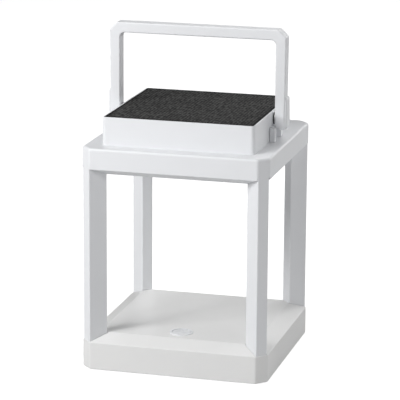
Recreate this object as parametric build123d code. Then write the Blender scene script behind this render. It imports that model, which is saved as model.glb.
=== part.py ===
from build123d import *
from math import atan, cos, degrees, radians, sin, sqrt
import os

# Solar insect lantern: a square plinth and a square cap joined by four hollow corner posts,
# a solar module on the cap and a carrying handle that folds flat round the module.
# Millimetres, +Z up, front towards -Y.  The origin is the middle of the footprint, on the
# ground under the rubber feet.

# ---------------------------------------------------------------- plinth
foot_proud = 0.8            # the plinth's rim clears the ground by this much
plinth_width = 148.0
plinth_side_height = 21.6
corner_chamfer = 7.8        # leg of the chamfer on each upright corner of plinth and cap
corner_round = 3.0          # softening of the two edges of that chamfer
bevel_run = 12.5            # picture-frame bevel, plan width
bevel_rise = 5.8            # and its height
wall = 2.2                  # side walls of the moulded shells
deck = 2.4                  # level decks of the moulded shells
edge_soft = 0.7             # rounding of the visible long edges

# ---------------------------------------------------------------- posts and ties
post_width = 9.9            # across the corner
post_depth = 15.6           # along the diagonal
post_wall = 1.5
post_face_inset = 0.5       # post face behind the corner chamfer
post_length = 139.0
post_corner = 0.8
seat_line = 0.3             # shadow line round a post in its seat
seat_gap = 0.12             # radial gap of spigots, feet and bosses in what locates them
spigot_height = 6.0
column_wall = 2.2           # beside the post, of the column under or over it
tie_d = 3.0
tie_head_d = 5.6
tie_head_height = 2.8
tie_head_drop = 4.0         # depth of the head's counterbore
tie_socket_d = 2.6
tie_socket_depth = 1.6
insert_d = 4.2
insert_length = 7.0
insert_drop = 1.0           # from the post's end up to its insert
insert_roof = 1.5           # closed end of the bore over an insert

# ---------------------------------------------------------------- screws
screw_d = 3.0
screw_head_d = 5.6
screw_head_height = 1.2
screw_grip = 7.0            # length in its boss
boss_wall = 2.0
small_screw_d = 2.0         # the circuit boards' screws
small_head_d = 3.8
small_head_height = 1.4
small_grip = 5.0
small_boss_wall = 1.7
drive_width = 0.6           # cross recess: slot width, depth and length as a share of the head
drive_depth = 0.6
drive_share = 0.6
hole_gap = 0.25             # radial gap of a plain screw hole
pilot_gap = 0.03            # radial gap of a threaded hole
hole_spare = 1.5            # a blind hole runs this much deeper than its screw
bite = 0.5                  # how far joined shapes run into each other
beyond = 1.0                # how far a cut reaches past the face that it opens

# ---------------------------------------------------------------- cap
cap_step = 0.3              # the cap's sides stand this far inside the plinth's
cap_side_height = 16.4      # from the tray's lower edge to the top
cap_top_round = 2.0
tray_rim = 1.4              # upright edge of the tray under the cap shell
tray_lip_height = 3.0
tray_lip_wall = 1.4
fit_gap = 0.25              # between a lip or plate and the wall round it
diffuser_window = 92.0
diffuser_ledge = 3.5
diffuser_plate = 1.4
diffuser_sink = 0.2         # its pane above the tray's underside
led_board_edge = 1.0        # the LED board's edge inside the diffuser's window
board_thickness = 1.6
led_gap = 6.5               # from the diffuser up to the LED board
led_rows = 4
led_size = (3.5, 2.8, 0.9)
led_screw_inset = 4.0
led_connector_inset = 8.5   # from the LED board's rear edge
led_connector_height = 5.0
tray_screw_inset = 5.5

# ---------------------------------------------------------------- solar module
module_width = 120.4        # at its foot
module_taper = 0.6          # each side leans in by this much at the top
module_height = 21.8
module_round = 3.5
panel_rim = 1.7             # from the module's foot line to the panel's edge
panel_recess = 2.7
panel_round = 1.0
panel_gap = 0.15
tape_thickness = 0.5
tape_width = 5.0
panel_board_thickness = 1.0
cell_thickness = 0.25
cell_columns = 3
cell_rows = 6
cell_gap = 1.2
cell_margin = 3.0
floor_thickness = 1.5
module_screw_inset = 9.0
hinge_block = (8.0, 9.0)    # block inside the housing that holds a pivot insert: along X and Y

# ---------------------------------------------------------------- handle
leg_clear = 2.0             # from the module's foot line to a leg's inner face
leg_width_top = 8.3
leg_width_foot = 7.7
handle_depth = 10.8
handle_rise = 64.2          # from the module's top to the bar's top
bar_height = 8.2
handle_chamfer = 5.8
handle_inner_round = 4.0
handle_soft = 1.1
handle_outer_round = 2.5
handle_foot_round = 1.8
foot_below_pivot = 8.1
shoulder_d = 5.0
bushing_wall = 0.9
pivot_gap = 0.05            # running clearance, radial and at the screw's head
pivot_thread = 8.5          # depth of the threaded hole from the module's side
pivot_insert_length = 6.0
pivot_head_d = 7.2
pivot_head_height = 2.2
pivot_counterbore = 3.0
washer_d = 9.6
cup_washer = 0.6
hinge_pad_d = 10.4
hinge_pad_proud = 0.9       # from the module's side at pivot height
cover_length = 25.1
cover_margin = 0.8          # of the leg's depth left on each side of its cover
cover_proud = 1.7
cover_bevel = 1.0
cover_round = 2.5
cover_clip = 1.0            # plastic behind the leg's face that the cover is cut from
rest_gap = 0.3              # folded leg above its rest
rest_clear = 2.6            # from the upright leg's front or rear face to a rest
rest_length = 5.6
rest_reach = 2.3            # of a rest under the folded leg
rest_round = 0.4

# ---------------------------------------------------------------- push button
button_edge = 27.5          # from the plinth's front to the button's middle
button_d = 14.2
button_gap = 0.3
bezel_rim = 4.2             # the bezel's diameter over the button's
bezel_proud = 0.7
bezel_wall = 0.9
bezel_round = 0.5
bezel_depth = 4.4
bezel_floor_thickness = 1.2
button_travel = 1.2
button_sink = 0.25          # button face below the bezel's rim
button_cap = 1.3
button_round = 0.4
symbol_d = 6.4              # power symbol sunk in the button: a broken ring and a bar
symbol_line = 0.7
symbol_depth = 0.25
symbol_break = 2.4
stem_d = 4.6
stem_gap = 0.1
clip_groove = 0.6
clip_groove_depth = 0.5
clip_d = 7.2
clip_thickness = 0.5
spring_wire = 0.5
spring_d = 9.0
spring_turns = 3.0
switch_size = 8.0
switch_height = 7.0
switch_wall = 1.2
plunger_size = 3.2
plunger_gap = 0.15
plunger_collar = 0.6
plunger_proud = 2.0

# ---------------------------------------------------------------- inside the plinth
plate_thickness = 2.0
plate_recess = 0.2
foot_d = 13.0
foot_edge = 16.0            # from the plinth's sides to a foot's middle
foot_seat = 0.9             # depth of a foot's pocket in the bottom plate
foot_round = 0.5
plate_screw_edge = (28.0, 16.0)   # from the plinth's sides to a screw: along X and Y
cell_d = 18.3
cell_length = 65.0
cell_round = 0.8
cell_nub_d = 5.6
cell_nub = 1.2
cell_front_y = 8.5          # the front cell's place along Y
cell_spacing = 2.7          # between the two cells
cell_gap_round = 0.1        # between a cell and its cradle
holder_wall = 1.6
holder_height = 9.0
holder_room = 2.2           # at each end of a cell, for its contact
contact_narrower = 5.3      # a cell's diameter over its contact's width
contact_plate = 0.4
contact_spring = 5.2
control_board = (56.0, 40.0)
control_board_shift = 0.5   # the board's middle in front of the button's
board_screw_inset = 3.5
connector = (6.0, 7.0, 5.5)
cable_d = 1.6
cable_hole_gap = 1.0
cable_low = 9.0             # height of the cable runs inside the plinth
cable_tangent = 1.4         # each cable's offset across the post
panel_hole_edge = (16.2, 9.7)   # from the module's left and rear to the panel cable's hole
lamp_socket = (-1, 0.5)     # side of the control board and place along Y from its middle
panel_socket = (-1, 9.0)
battery_socket = (1, 9.0)

# ---------------------------------------------------------------- worked out
plinth_half = plinth_width / 2
module_half = module_width / 2
cap_width = plinth_width - 2 * cap_step
led_board_width = diffuser_window - 2 * led_board_edge
panel_width = module_width - 2 * panel_rim
panel_cable_x = panel_hole_edge[0] - module_half
panel_cable_y = module_half - panel_hole_edge[1]
leg_gap = module_half + leg_clear
cover_width = handle_depth - 2 * cover_margin
rest_inset = handle_depth / 2 + rest_clear
button_y = button_edge - plinth_half
control_board_y = button_y - control_board_shift
bezel_d = button_d + bezel_rim
foot_inset = plinth_half - foot_edge
plate_screw_at = (plinth_half - plate_screw_edge[0], plinth_half - plate_screw_edge[1])
cell_y = (cell_front_y, cell_front_y + cell_d + cell_spacing)
contact_width = cell_d - contact_narrower
plinth_bottom = foot_proud
plinth_side_top = plinth_bottom + plinth_side_height
plateau = plinth_side_top + bevel_rise
post_bottom = plinth_side_top
post_top = post_bottom + post_length
cap_bottom = post_top - tray_rim
cap_top = cap_bottom + cap_side_height
module_top = cap_top + module_height
handle_top = module_top + handle_rise
pivot_z = module_top - handle_depth / 2
foot_end = pivot_z - foot_below_pivot
post_face = (plinth_width - corner_chamfer) / sqrt(2) - post_face_inset
post_centre = post_face - post_depth / 2
cable_back = post_depth / 2 - post_wall - cable_d / 2 - 1.0
inner_chamfer = corner_chamfer - wall * (2 - sqrt(2))
plate_bottom = plinth_bottom + plate_recess
plate_top = plate_bottom + plate_thickness
column_bottom = plate_top + 0.1
deck_under = plateau - deck
cap_under = cap_top - deck
tray_under = cap_bottom - bevel_rise
tray_floor_top = tray_under + deck
leg_out_foot = leg_gap + leg_width_foot
leg_out_top = leg_gap + leg_width_top
bezel_top = plateau + bezel_proud
button_face = bezel_top - button_sink
spring_top = button_face - button_cap
bezel_floor_top = plateau - bezel_depth
bezel_floor = bezel_floor_top - bezel_floor_thickness
bezel_tube = button_d + 2 * (button_gap + bezel_wall)
clip_low = bezel_floor - clip_thickness - 0.15
plunger_top = clip_low - 0.15
switch_top = plunger_top - plunger_proud
board_top = switch_top - switch_height
tie_seat = column_bottom + tie_head_drop
insert_low = post_top + insert_drop
plate_head_seat = plate_bottom + screw_head_height
tray_head_seat = tray_under + screw_head_height + 0.2
led_under = tray_floor_top + led_gap
led_top = led_under + board_thickness
hinge_pad_face = module_half - module_taper * (pivot_z - cap_top) / module_height + hinge_pad_proud
pivot_bore_end = module_half - pivot_thread
rest_in = module_half + fit_gap
rest_out = leg_gap + rest_reach
spigot_back = post_centre - cable_back + cable_d / 2 + 0.6
head_seat = leg_out_foot - pivot_counterbore
panel_board_low = module_top - panel_recess + tape_thickness
panel_board_high = panel_board_low + panel_board_thickness


def outline(width, chamfer_leg, soft):
    """Square with chamfered corners whose chamfer edges are softened."""
    sketch = Rectangle(width, width)
    sketch = chamfer(sketch.vertices(), length=chamfer_leg)
    return fillet(sketch.vertices(), radius=soft)


def prism(sketch, low, high):
    return extrude(Pos(0, 0, low) * sketch, amount=high - low)


def block(x, y, z):
    """Box from three (low, high) pairs."""
    size = [high - low for low, high in (x, y, z)]
    middle = [(high + low) / 2 for low, high in (x, y, z)]
    return Pos(*middle) * Box(*size)


def rod(radius, low, high, x=0.0, y=0.0):
    return Pos(x, y, (low + high) / 2) * Cylinder(radius, high - low)


def rod_x(radius, low, high, y, z):
    """Round bar along X."""
    return Pos((low + high) / 2, y, z) * Rot(0, 90, 0) * Cylinder(radius, high - low)


def frustum(wide, narrow, low, high):
    """Square frustum from a wide square at low to a narrow one at high."""
    first = Pos(0, 0, low) * Rectangle(wide, wide)
    last = Pos(0, 0, high) * Rectangle(narrow, narrow)
    return loft([first, last], ruled=True)


def at_corners(piece):
    """The four copies of a piece drawn on +X, turned onto the diagonals."""
    return [Rot(0, 0, 45 + 90 * k) * piece for k in range(4)]


def corner_points(inset):
    return [(sx * inset, sy * inset) for sx in (1, -1) for sy in (1, -1)]


def mirrored(piece):
    """The same piece on the other side of the YZ plane."""
    return mirror(piece, about=Plane.YZ)


def group(pieces, name):
    """Identical pieces kept as separate solids in one node."""
    solids = [solid for piece in pieces for solid in piece.solids()]
    save(Compound(children=solids) if len(solids) > 1 else solids[0], name)


def long_edges(piece, height):
    """Straight edges over 60 mm long at a height."""
    return [edge for edge in piece.edges().filter_by(GeomType.LINE)
            if abs(edge.center().Z - height) < 0.01 and edge.length > 60]


def save(piece, name):
    piece.label = name
    export_step(piece, os.path.join("parts", name + ".step"))


# ================================================================ shared tools
def post_seat(low, high, gap=seat_line):
    """Seat for a post's whole section, open to the outside of the corner."""
    inner = post_centre - post_depth / 2 - gap
    half = post_width / 2 + gap
    return at_corners(block((inner, post_face + corner_chamfer), (-half, half), (low, high)))


def spigot(low, high):
    """Locating block inside a post's end; the cable side of the post stays free."""
    inner_half = post_depth / 2 - post_wall - seat_gap
    half = post_width / 2 - post_wall - seat_gap
    return block((spigot_back, post_centre + inner_half), (-half, half), (low, high))


def corner_column(low, high):
    """Column under or over the outer part of a post; the cables pass on its inner side."""
    half = post_width / 2 + column_wall
    return block((spigot_back, post_face + corner_chamfer), (-half, half), (low, high))


# ================================================================ plinth
def make_plinth_shell():
    skin = outline(plinth_width, corner_chamfer, corner_round)
    body = prism(skin, plinth_bottom, plateau)
    square = block((-plinth_width, plinth_width), (-plinth_width, plinth_width),
                   (plinth_bottom - beyond, plinth_side_top))
    roof = frustum(plinth_width, plinth_width - 2 * bevel_run, plinth_side_top, plateau)
    outer = body & (square + roof)
    outer = fillet(long_edges(outer, plateau) + long_edges(outer, plinth_side_top), radius=edge_soft)
    outer = fillet([edge for edge in outer.edges() if abs(edge.center().Z - plinth_bottom) < 0.01],
                   radius=edge_soft)
    inner_skin = outline(plinth_width - 2 * wall, inner_chamfer, corner_round - wall / 2)
    slope = bevel_rise / bevel_run
    inner_side_top = plinth_side_top - deck + wall * slope
    hollow = prism(inner_skin, plinth_bottom - beyond, deck_under)
    hollow_square = block((-plinth_width, plinth_width), (-plinth_width, plinth_width),
                          (plinth_bottom - beyond, inner_side_top))
    hollow_roof = frustum(plinth_width - 2 * wall, plinth_width - 2 * bevel_run,
                          inner_side_top, deck_under)
    shell = outer - (hollow & (hollow_square + hollow_roof))
    for column in at_corners(corner_column(column_bottom, plateau)):
        shell = shell + (column & outer)
    for seat in post_seat(plinth_side_top, plateau + beyond):
        shell = shell - seat
    for block_up in at_corners(spigot(plinth_side_top, plinth_side_top + spigot_height)):
        shell = shell + block_up
    for x, y in plate_screw_points():
        boss = rod(screw_d / 2 + boss_wall, column_bottom, plateau, x, y) & outer
        hole_end = plate_head_seat + plate_thickness + screw_grip + hole_spare
        shell = shell + boss - rod(screw_d / 2 + pilot_gap, column_bottom - beyond, hole_end, x, y)
    for x, y in board_screw_points():
        boss = rod(small_screw_d / 2 + small_boss_wall, board_top, plateau, x, y) & outer
        hole_end = board_top + small_grip + hole_spare
        shell = shell + boss - rod(small_screw_d / 2 + pilot_gap, board_top - beyond, hole_end, x, y)
    for hole in at_corners(rod(tie_d / 2 + hole_gap, 0, plateau + spigot_height, post_centre)):
        shell = shell - hole
    for bore in at_corners(rod(tie_head_d / 2 + hole_gap, 0, tie_seat, post_centre)):
        shell = shell - bore
    return shell - rod(bezel_tube / 2 + stem_gap, deck_under - beyond, plateau + beyond, 0, button_y)


def plate_screw_points():
    return [(sx * plate_screw_at[0], sy * plate_screw_at[1]) for sx in (1, -1) for sy in (1, -1)]


def board_screw_points():
    half_x = control_board[0] / 2 - board_screw_inset
    half_y = control_board[1] / 2 - board_screw_inset
    return [(sx * half_x, control_board_y + sy * half_y) for sx in (1, -1) for sy in (1, -1)]


def make_bottom_plate():
    inner_skin = outline(plinth_width - 2 * wall - 2 * fit_gap, inner_chamfer, corner_round - wall / 2)
    plate = prism(inner_skin, plate_bottom, plate_top)
    for x, y in plate_screw_points():
        plate = plate - rod(screw_d / 2 + hole_gap, 0, plate_top + beyond, x, y)
        plate = plate - rod(screw_head_d / 2 + hole_gap, 0, plate_head_seat, x, y)
    for x, y in corner_points(foot_inset):
        plate = plate - rod(foot_d / 2 + seat_gap, 0, plate_bottom + foot_seat, x, y)
    return plate


def make_feet():
    feet = []
    for x, y in corner_points(foot_inset):
        foot = rod(foot_d / 2, 0, plate_bottom + foot_seat, x, y)
        ground_edge = foot.edges().filter_by(GeomType.CIRCLE).sort_by(Axis.Z)[0]
        feet.append(fillet(ground_edge, radius=foot_round))
    return feet


def screw_up(x, y, seat, length, thread_d=screw_d, head_d=screw_head_d, head_height=screw_head_height):
    """Cross-recess pan screw pointing up from the face that its head bears on."""
    head = rod(head_d / 2, seat - head_height, seat, x, y)
    thread = rod(thread_d / 2, seat, seat + length, x, y)
    arm = head_d * drive_share
    cross = Box(arm, drive_width, 2 * drive_depth) + Box(drive_width, arm, 2 * drive_depth)
    return head + thread - Pos(x, y, seat - head_height) * cross


def small_screw_up(x, y, seat, length):
    return screw_up(x, y, seat, length, small_screw_d, small_head_d, small_head_height)


def make_plate_screws():
    length = plate_thickness + screw_grip
    return [screw_up(x, y, plate_head_seat, length) for x, y in plate_screw_points()]


# ================================================================ inside the plinth
def battery_centre(index):
    return plate_top + holder_wall + cell_d / 2 + cell_gap_round, cell_y[index]


def make_batteries():
    cells = []
    for index in range(len(cell_y)):
        z, y = battery_centre(index)
        can = rod_x(cell_d / 2, -cell_length / 2, cell_length / 2 - cell_nub, y, z)
        rims = can.edges().filter_by(GeomType.CIRCLE)
        can = fillet(rims, radius=cell_round)
        nub = rod_x(cell_nub_d / 2, cell_length / 2 - cell_nub - bite, cell_length / 2, y, z)
        cell = can + nub
        cells.append(cell if index % 2 == 0 else mirrored(cell))
    return cells


def make_battery_holder():
    end = cell_length / 2 + holder_room
    cradle = cell_d / 2 + cell_gap_round
    low_y = cell_y[0] - cradle - holder_wall
    high_y = cell_y[1] + cradle + holder_wall
    tray = block((-end - holder_wall, end + holder_wall), (low_y, high_y),
                 (plate_top, plate_top + holder_height))
    for index in range(len(cell_y)):
        z, y = battery_centre(index)
        tray = tray - rod_x(cradle, -end, end, y, z)
        tray = tray - block((-end, end), (y - cradle, y + cradle), (z, z + cell_d))
    return tray


def make_battery_contacts():
    """Sprung contact plates at both ends of each cell."""
    contacts = []
    for index in range(len(cell_y)):
        z, y = battery_centre(index)
        for side in (1, -1):
            inner = side * (cell_length / 2 + pivot_gap)
            outer = side * (cell_length / 2 + holder_room - pivot_gap)
            half = contact_spring / 2
            spring = block(sorted((inner, outer)), (y - half, y + half), (z - half, z + half))
            half = contact_width / 2
            back = outer - side * contact_plate
            plate = block(sorted((back, outer)), (y - half, y + half),
                          (z - contact_spring, z + contact_spring))
            contacts.append(spring + plate)
    return contacts


def make_control_board():
    half_x, half_y = control_board[0] / 2, control_board[1] / 2
    board = block((-half_x, half_x), (control_board_y - half_y, control_board_y + half_y),
                  (board_top - board_thickness, board_top))
    for x, y in board_screw_points():
        board = board - rod(small_screw_d / 2 + hole_gap, board_top - board_thickness - beyond,
                            board_top + beyond, x, y)
    return board


def make_board_screws():
    seat = board_top - board_thickness
    return [small_screw_up(x, y, seat, board_thickness + small_grip) for x, y in board_screw_points()]


def connector_box(side, y):
    """X, Y and Z spans of a cable connector at the control board's left or right edge."""
    edge = control_board[0] / 2 - bite
    low_y = control_board_y + y - connector[1] / 2
    return (sorted((side * edge, side * (edge - connector[0]))), (low_y, low_y + connector[1]),
            (board_top, board_top + connector[2]))


def make_board_parts():
    inductor = rod(4.0, board_top, board_top + 4.2, 16.0, control_board_y + 12.0)
    charge_chip = block((12.0, 17.0), (control_board_y - 6.0, control_board_y - 1.0),
                        (board_top, board_top + 1.4))
    driver_chip = block((12.0, 16.0), (control_board_y - 16.0, control_board_y - 12.0),
                        (board_top, board_top + 1.2))
    storage = rod(3.1, board_top, board_top + 7.0, -14.0, control_board_y - 11.0)
    connectors = [block(*connector_box(side, y)) for side, y in (lamp_socket, panel_socket, battery_socket)]
    return [inductor, charge_chip, driver_chip, storage] + connectors


# ================================================================ push button
def make_bezel():
    bore = button_d / 2 + button_gap
    ring = rod(bezel_d / 2, plateau, bezel_top, 0, button_y)
    top_edge = ring.edges().filter_by(GeomType.CIRCLE).sort_by(Axis.Z)[-1]
    ring = fillet(top_edge, radius=bezel_round)
    ring = ring + rod(bezel_tube / 2, bezel_floor, plateau, 0, button_y)
    ring = ring - rod(bore, bezel_floor_top, bezel_top + beyond, 0, button_y)
    return ring - rod(stem_d / 2 + stem_gap, bezel_floor - beyond, bezel_floor_top + beyond, 0, button_y)


def make_button():
    cap = rod(button_d / 2, spring_top, button_face, 0, button_y)
    top_edge = cap.edges().filter_by(GeomType.CIRCLE).sort_by(Axis.Z)[-1]
    cap = fillet(top_edge, radius=button_round)
    stem = rod(stem_d / 2, plunger_top, spring_top + bite, 0, button_y)
    low = clip_low - (clip_groove - clip_thickness) / 2
    groove = rod(stem_d / 2 + beyond, low, low + clip_groove, 0, button_y)
    groove = groove - rod(stem_d / 2 - clip_groove_depth, low, low + clip_groove, 0, button_y)
    return cap + stem - groove - power_symbol()


def power_symbol():
    """Broken ring with a bar in its gap, as a shape to sink into the button's face."""
    middle = symbol_d / 2
    ring = Circle(middle + symbol_line / 2) - Circle(middle - symbol_line / 2)
    ring = ring - Pos(0, middle) * Rectangle(symbol_break, middle)
    bar = Pos(0, middle * 0.75) * Rectangle(symbol_line, middle)
    return prism(Pos(0, button_y) * (ring + bar), button_face - symbol_depth, button_face + beyond)


def make_button_clip():
    """Retaining ring snapped in the stem's groove, under the bezel's floor."""
    bore = stem_d / 2 - clip_groove_depth + pivot_gap
    ring = rod(clip_d / 2, clip_low, clip_low + clip_thickness, 0, button_y)
    ring = ring - rod(bore, clip_low - beyond, clip_low + beyond, 0, button_y)
    slot = bore * 0.65
    return ring - block((-slot, slot), (button_y - clip_d, button_y), (clip_low - beyond, clip_low + beyond))


def make_button_spring():
    low = bezel_floor_top + spring_wire / 2
    high = spring_top - spring_wire / 2
    height = high - low
    path = Pos(0, button_y, low) * Helix(height / spring_turns, height, spring_d / 2 - spring_wire / 2)
    section = Plane(path @ 0, z_dir=path % 0) * Circle(spring_wire / 2 - pilot_gap)
    return sweep(section, path=path, is_frenet=True)


def make_switch_body():
    half = switch_size / 2
    body = block((-half, half), (button_y - half, button_y + half), (board_top, switch_top))
    bore = plunger_size / 2 + plunger_gap
    hole = block((-bore, bore), (button_y - bore, button_y + bore),
                 (board_top + switch_wall, switch_top + beyond))
    bore = bore + plunger_collar
    room = block((-bore, bore), (button_y - bore, button_y + bore),
                 (board_top + switch_wall, switch_top - switch_wall))
    return body - hole - room


def make_plunger():
    half = plunger_size / 2
    foot_low = board_top + switch_wall + button_travel + plunger_gap
    shank = block((-half, half), (button_y - half, button_y + half), (foot_low, plunger_top))
    half = half + plunger_collar
    collar = block((-half, half), (button_y - half, button_y + half),
                   (foot_low, switch_top - switch_wall - plunger_gap))
    return shank + collar


# ================================================================ posts
def make_post():
    bar = Rectangle(post_depth, post_width)
    bar = fillet(bar.vertices(), radius=post_corner)
    tube = bar - Rectangle(post_depth - 2 * post_wall, post_width - 2 * post_wall)
    return Pos(post_centre, 0, 0) * prism(tube, post_bottom, post_top)


def make_ties():
    """Long socket screws that clamp plinth, posts and cap together."""
    head_low = tie_seat - tie_head_height
    tie = rod(tie_head_d / 2, head_low, tie_seat, post_centre)
    tie = tie + rod(tie_d / 2, tie_seat, insert_low + insert_length + bite, post_centre)
    tie = tie - rod(tie_socket_d / 2, head_low - beyond, head_low + tie_socket_depth, post_centre)
    return at_corners(tie)


def make_inserts():
    high = insert_low + insert_length
    sleeve = rod(insert_d / 2, insert_low, high, post_centre)
    return at_corners(sleeve - rod(tie_d / 2 + pilot_gap, insert_low - beyond, high + beyond, post_centre))


# ================================================================ cap
def cap_outline(inset=0.0):
    inner = corner_chamfer - inset * (2 - sqrt(2))
    return outline(cap_width - 2 * inset, inner, corner_round - inset / 2)


def rest_block(side, front):
    x = [side * rest_in, side * rest_out]
    y = [front * rest_inset, front * (rest_inset + rest_length)]
    rest = block(sorted(x), sorted(y), (cap_top - bite, pivot_z - handle_depth / 2 - rest_gap))
    return fillet(rest.edges().filter_by(Axis.Z), radius=rest_round)


def module_screw_points():
    return corner_points(module_width / 2 - module_screw_inset)


def led_screw_points():
    return corner_points(led_board_width / 2 - led_screw_inset)


def tray_screw_points():
    half = cap_width / 2 - bevel_run - tray_screw_inset
    return [(half, 0), (-half, 0), (0, half), (0, -half)]


def make_cap_shell():
    low = post_top
    body = prism(cap_outline(), low, cap_top)
    top_edges = [edge for edge in body.edges() if abs(edge.center().Z - cap_top) < 0.01]
    outer = fillet(top_edges, radius=cap_top_round)
    shell = outer - prism(cap_outline(wall), low - beyond, cap_under)
    for column in at_corners(corner_column(low, cap_under + bite)):
        shell = shell + (column & outer)
    for block_down in at_corners(spigot(low - spigot_height, low)):
        shell = shell + block_down
    for bore in at_corners(rod(tie_d / 2 + hole_gap, low - 2 * spigot_height, cap_under - insert_roof,
                               post_centre)):
        shell = shell - bore
    for bore in at_corners(rod(insert_d / 2, insert_low, insert_low + insert_length, post_centre)):
        shell = shell - bore
    for x, y in led_screw_points():
        boss = rod(small_screw_d / 2 + small_boss_wall, led_top, cap_under + bite, x, y)
        hole_end = led_top + small_grip + hole_spare
        shell = shell + boss - rod(small_screw_d / 2 + pilot_gap, led_top - beyond, hole_end, x, y)
    for x, y in tray_screw_points():
        boss = rod(screw_d / 2 + boss_wall, tray_floor_top + seat_gap, cap_under + bite, x, y)
        hole_end = tray_floor_top + screw_grip + hole_spare
        shell = shell + boss - rod(screw_d / 2 + pilot_gap, tray_floor_top, hole_end, x, y)
    for x, y in module_screw_points():
        shell = shell - rod(screw_d / 2 + hole_gap, cap_under - beyond, cap_top + beyond, x, y)
    shell = shell - rod(cable_d / 2 + cable_hole_gap, cap_under - beyond, cap_top + beyond,
                        panel_cable_x, panel_cable_y)
    for side in (1, -1):
        for front in (1, -1):
            shell = shell + rest_block(side, front)
    return shell


def make_cap_tray():
    low_square = frustum(cap_width - 2 * bevel_run, cap_width, tray_under, cap_bottom)
    upright = block((-cap_width, cap_width), (-cap_width, cap_width), (cap_bottom, post_top))
    outer = prism(cap_outline(), tray_under, post_top) & (low_square + upright)
    outer = fillet(long_edges(outer, tray_under), radius=edge_soft)
    slope = bevel_rise / bevel_run
    inner_half = cap_width / 2 - wall
    inner_low = cap_bottom + deck - wall * slope
    inner = frustum(cap_width - 2 * bevel_run, 2 * inner_half, tray_floor_top, inner_low)
    inner = inner + block((-inner_half, inner_half), (-inner_half, inner_half),
                          (inner_low, post_top + beyond))
    tray = outer - (prism(cap_outline(wall), tray_under, post_top + beyond) & inner)
    lip_outer = prism(cap_outline(wall + fit_gap), cap_bottom, post_top + tray_lip_height)
    lip_inner = prism(cap_outline(wall + fit_gap + tray_lip_wall), tray_under, cap_top)
    tray = tray + (lip_outer - lip_inner)
    column_half = post_width / 2 + column_wall + fit_gap
    for seat in at_corners(block((post_centre - post_depth / 2 - column_wall, post_face + corner_chamfer),
                                 (-column_half, column_half), (post_top, cap_top))):
        tray = tray - seat
    for seat in post_seat(tray_under - beyond, post_top + beyond):
        tray = tray - seat
    window = diffuser_window / 2
    tray = tray - block((-window, window), (-window, window), (tray_under - beyond, tray_floor_top + beyond))
    ledge = window + diffuser_ledge
    tray = tray - block((-ledge, ledge), (-ledge, ledge),
                        (tray_floor_top - diffuser_plate, tray_floor_top + beyond))
    for x, y in tray_screw_points():
        tray = tray - rod(screw_d / 2 + hole_gap, tray_under - beyond, tray_floor_top + beyond, x, y)
        tray = tray - rod(screw_head_d / 2 + hole_gap, tray_under - beyond, tray_head_seat, x, y)
    return tray


def make_tray_screws():
    length = tray_floor_top - tray_head_seat + screw_grip
    return [screw_up(x, y, tray_head_seat, length) for x, y in tray_screw_points()]


def make_diffuser():
    ledge = diffuser_window / 2 + diffuser_ledge - fit_gap
    window = diffuser_window / 2 - fit_gap
    plate = block((-ledge, ledge), (-ledge, ledge), (tray_floor_top - diffuser_plate, tray_floor_top))
    pane = block((-window, window), (-window, window),
                 (tray_under + diffuser_sink, tray_floor_top - diffuser_plate))
    return plate + pane


def make_led_board():
    half = led_board_width / 2
    board = block((-half, half), (-half, half), (led_under, led_top))
    for x, y in led_screw_points():
        board = board - rod(small_screw_d / 2 + hole_gap, led_under - beyond, led_top + beyond, x, y)
    return board


def make_led_screws():
    return [small_screw_up(x, y, led_under, board_thickness + small_grip) for x, y in led_screw_points()]


def make_leds():
    pitch = led_board_width / (led_rows + 0.5)
    start = -pitch * (led_rows - 1) / 2
    chips = []
    for i in range(led_rows):
        for j in range(led_rows):
            chip = Box(*led_size)
            chips.append(Pos(start + i * pitch, start + j * pitch, led_under - led_size[2] / 2) * chip)
    return chips


def led_connector_box():
    left = -led_board_width / 2 + bite
    rear = led_board_width / 2 - led_connector_inset
    return ((left, left + connector[0]), (rear - connector[1], rear),
            (led_top, led_top + led_connector_height))


# ================================================================ solar module
def make_module_housing():
    base = RectangleRounded(module_width, module_width, module_round)
    taper = degrees(atan(module_taper / module_height))
    outer = extrude(Pos(0, 0, cap_top) * base, amount=module_height, taper=taper)
    inner_width = module_width - 2 * module_taper - 2 * wall
    recess_floor = module_top - panel_recess
    floor_under = recess_floor - floor_thickness
    inner = RectangleRounded(inner_width, inner_width, module_round - module_taper * 2)
    shell = outer - prism(inner, cap_top - beyond, floor_under)
    recess_width = panel_width + 2 * panel_gap
    recess = RectangleRounded(recess_width, recess_width, panel_round + panel_gap)
    shell = shell - prism(recess, recess_floor, module_top + beyond)
    for x, y in module_screw_points():
        boss = rod(screw_d / 2 + boss_wall, cap_top, floor_under + bite, x, y)
        hole_end = cap_top + screw_grip + hole_spare
        shell = shell + boss - rod(screw_d / 2 + pilot_gap, cap_top - beyond, hole_end, x, y)
    wall_in = module_width / 2 - wall
    half = hinge_block[1] / 2
    for side in (1, -1):
        spans = sorted((side * (wall_in + bite), side * (wall_in + bite - hinge_block[0])))
        shell = shell + block(spans, (-half, half), (pivot_z - half, floor_under + bite))
        low, high = sorted((side * wall_in, side * hinge_pad_face))
        shell = shell + (rod_x(hinge_pad_d / 2, low, high, 0, pivot_z) - panel_pocket())
        low, high = sorted((side * pivot_bore_end, side * (hinge_pad_face + beyond)))
        shell = shell - rod_x(insert_d / 2, low, high, 0, pivot_z)
    return shell - rod(cable_d / 2 + cable_hole_gap, floor_under - beyond, recess_floor + beyond,
                       panel_cable_x, panel_cable_y)


def panel_pocket():
    half = panel_width / 2 + panel_gap
    return block((-half, half), (-half, half), (module_top - panel_recess, module_top + hinge_pad_d))


def make_panel_tape():
    low = module_top - panel_recess
    outer = RectangleRounded(panel_width, panel_width, panel_round)
    inner = Rectangle(panel_width - 2 * tape_width, panel_width - 2 * tape_width)
    return prism(outer - inner, low, low + tape_thickness)


def make_panel_board():
    return prism(RectangleRounded(panel_width, panel_width, panel_round), panel_board_low, panel_board_high)


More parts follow.
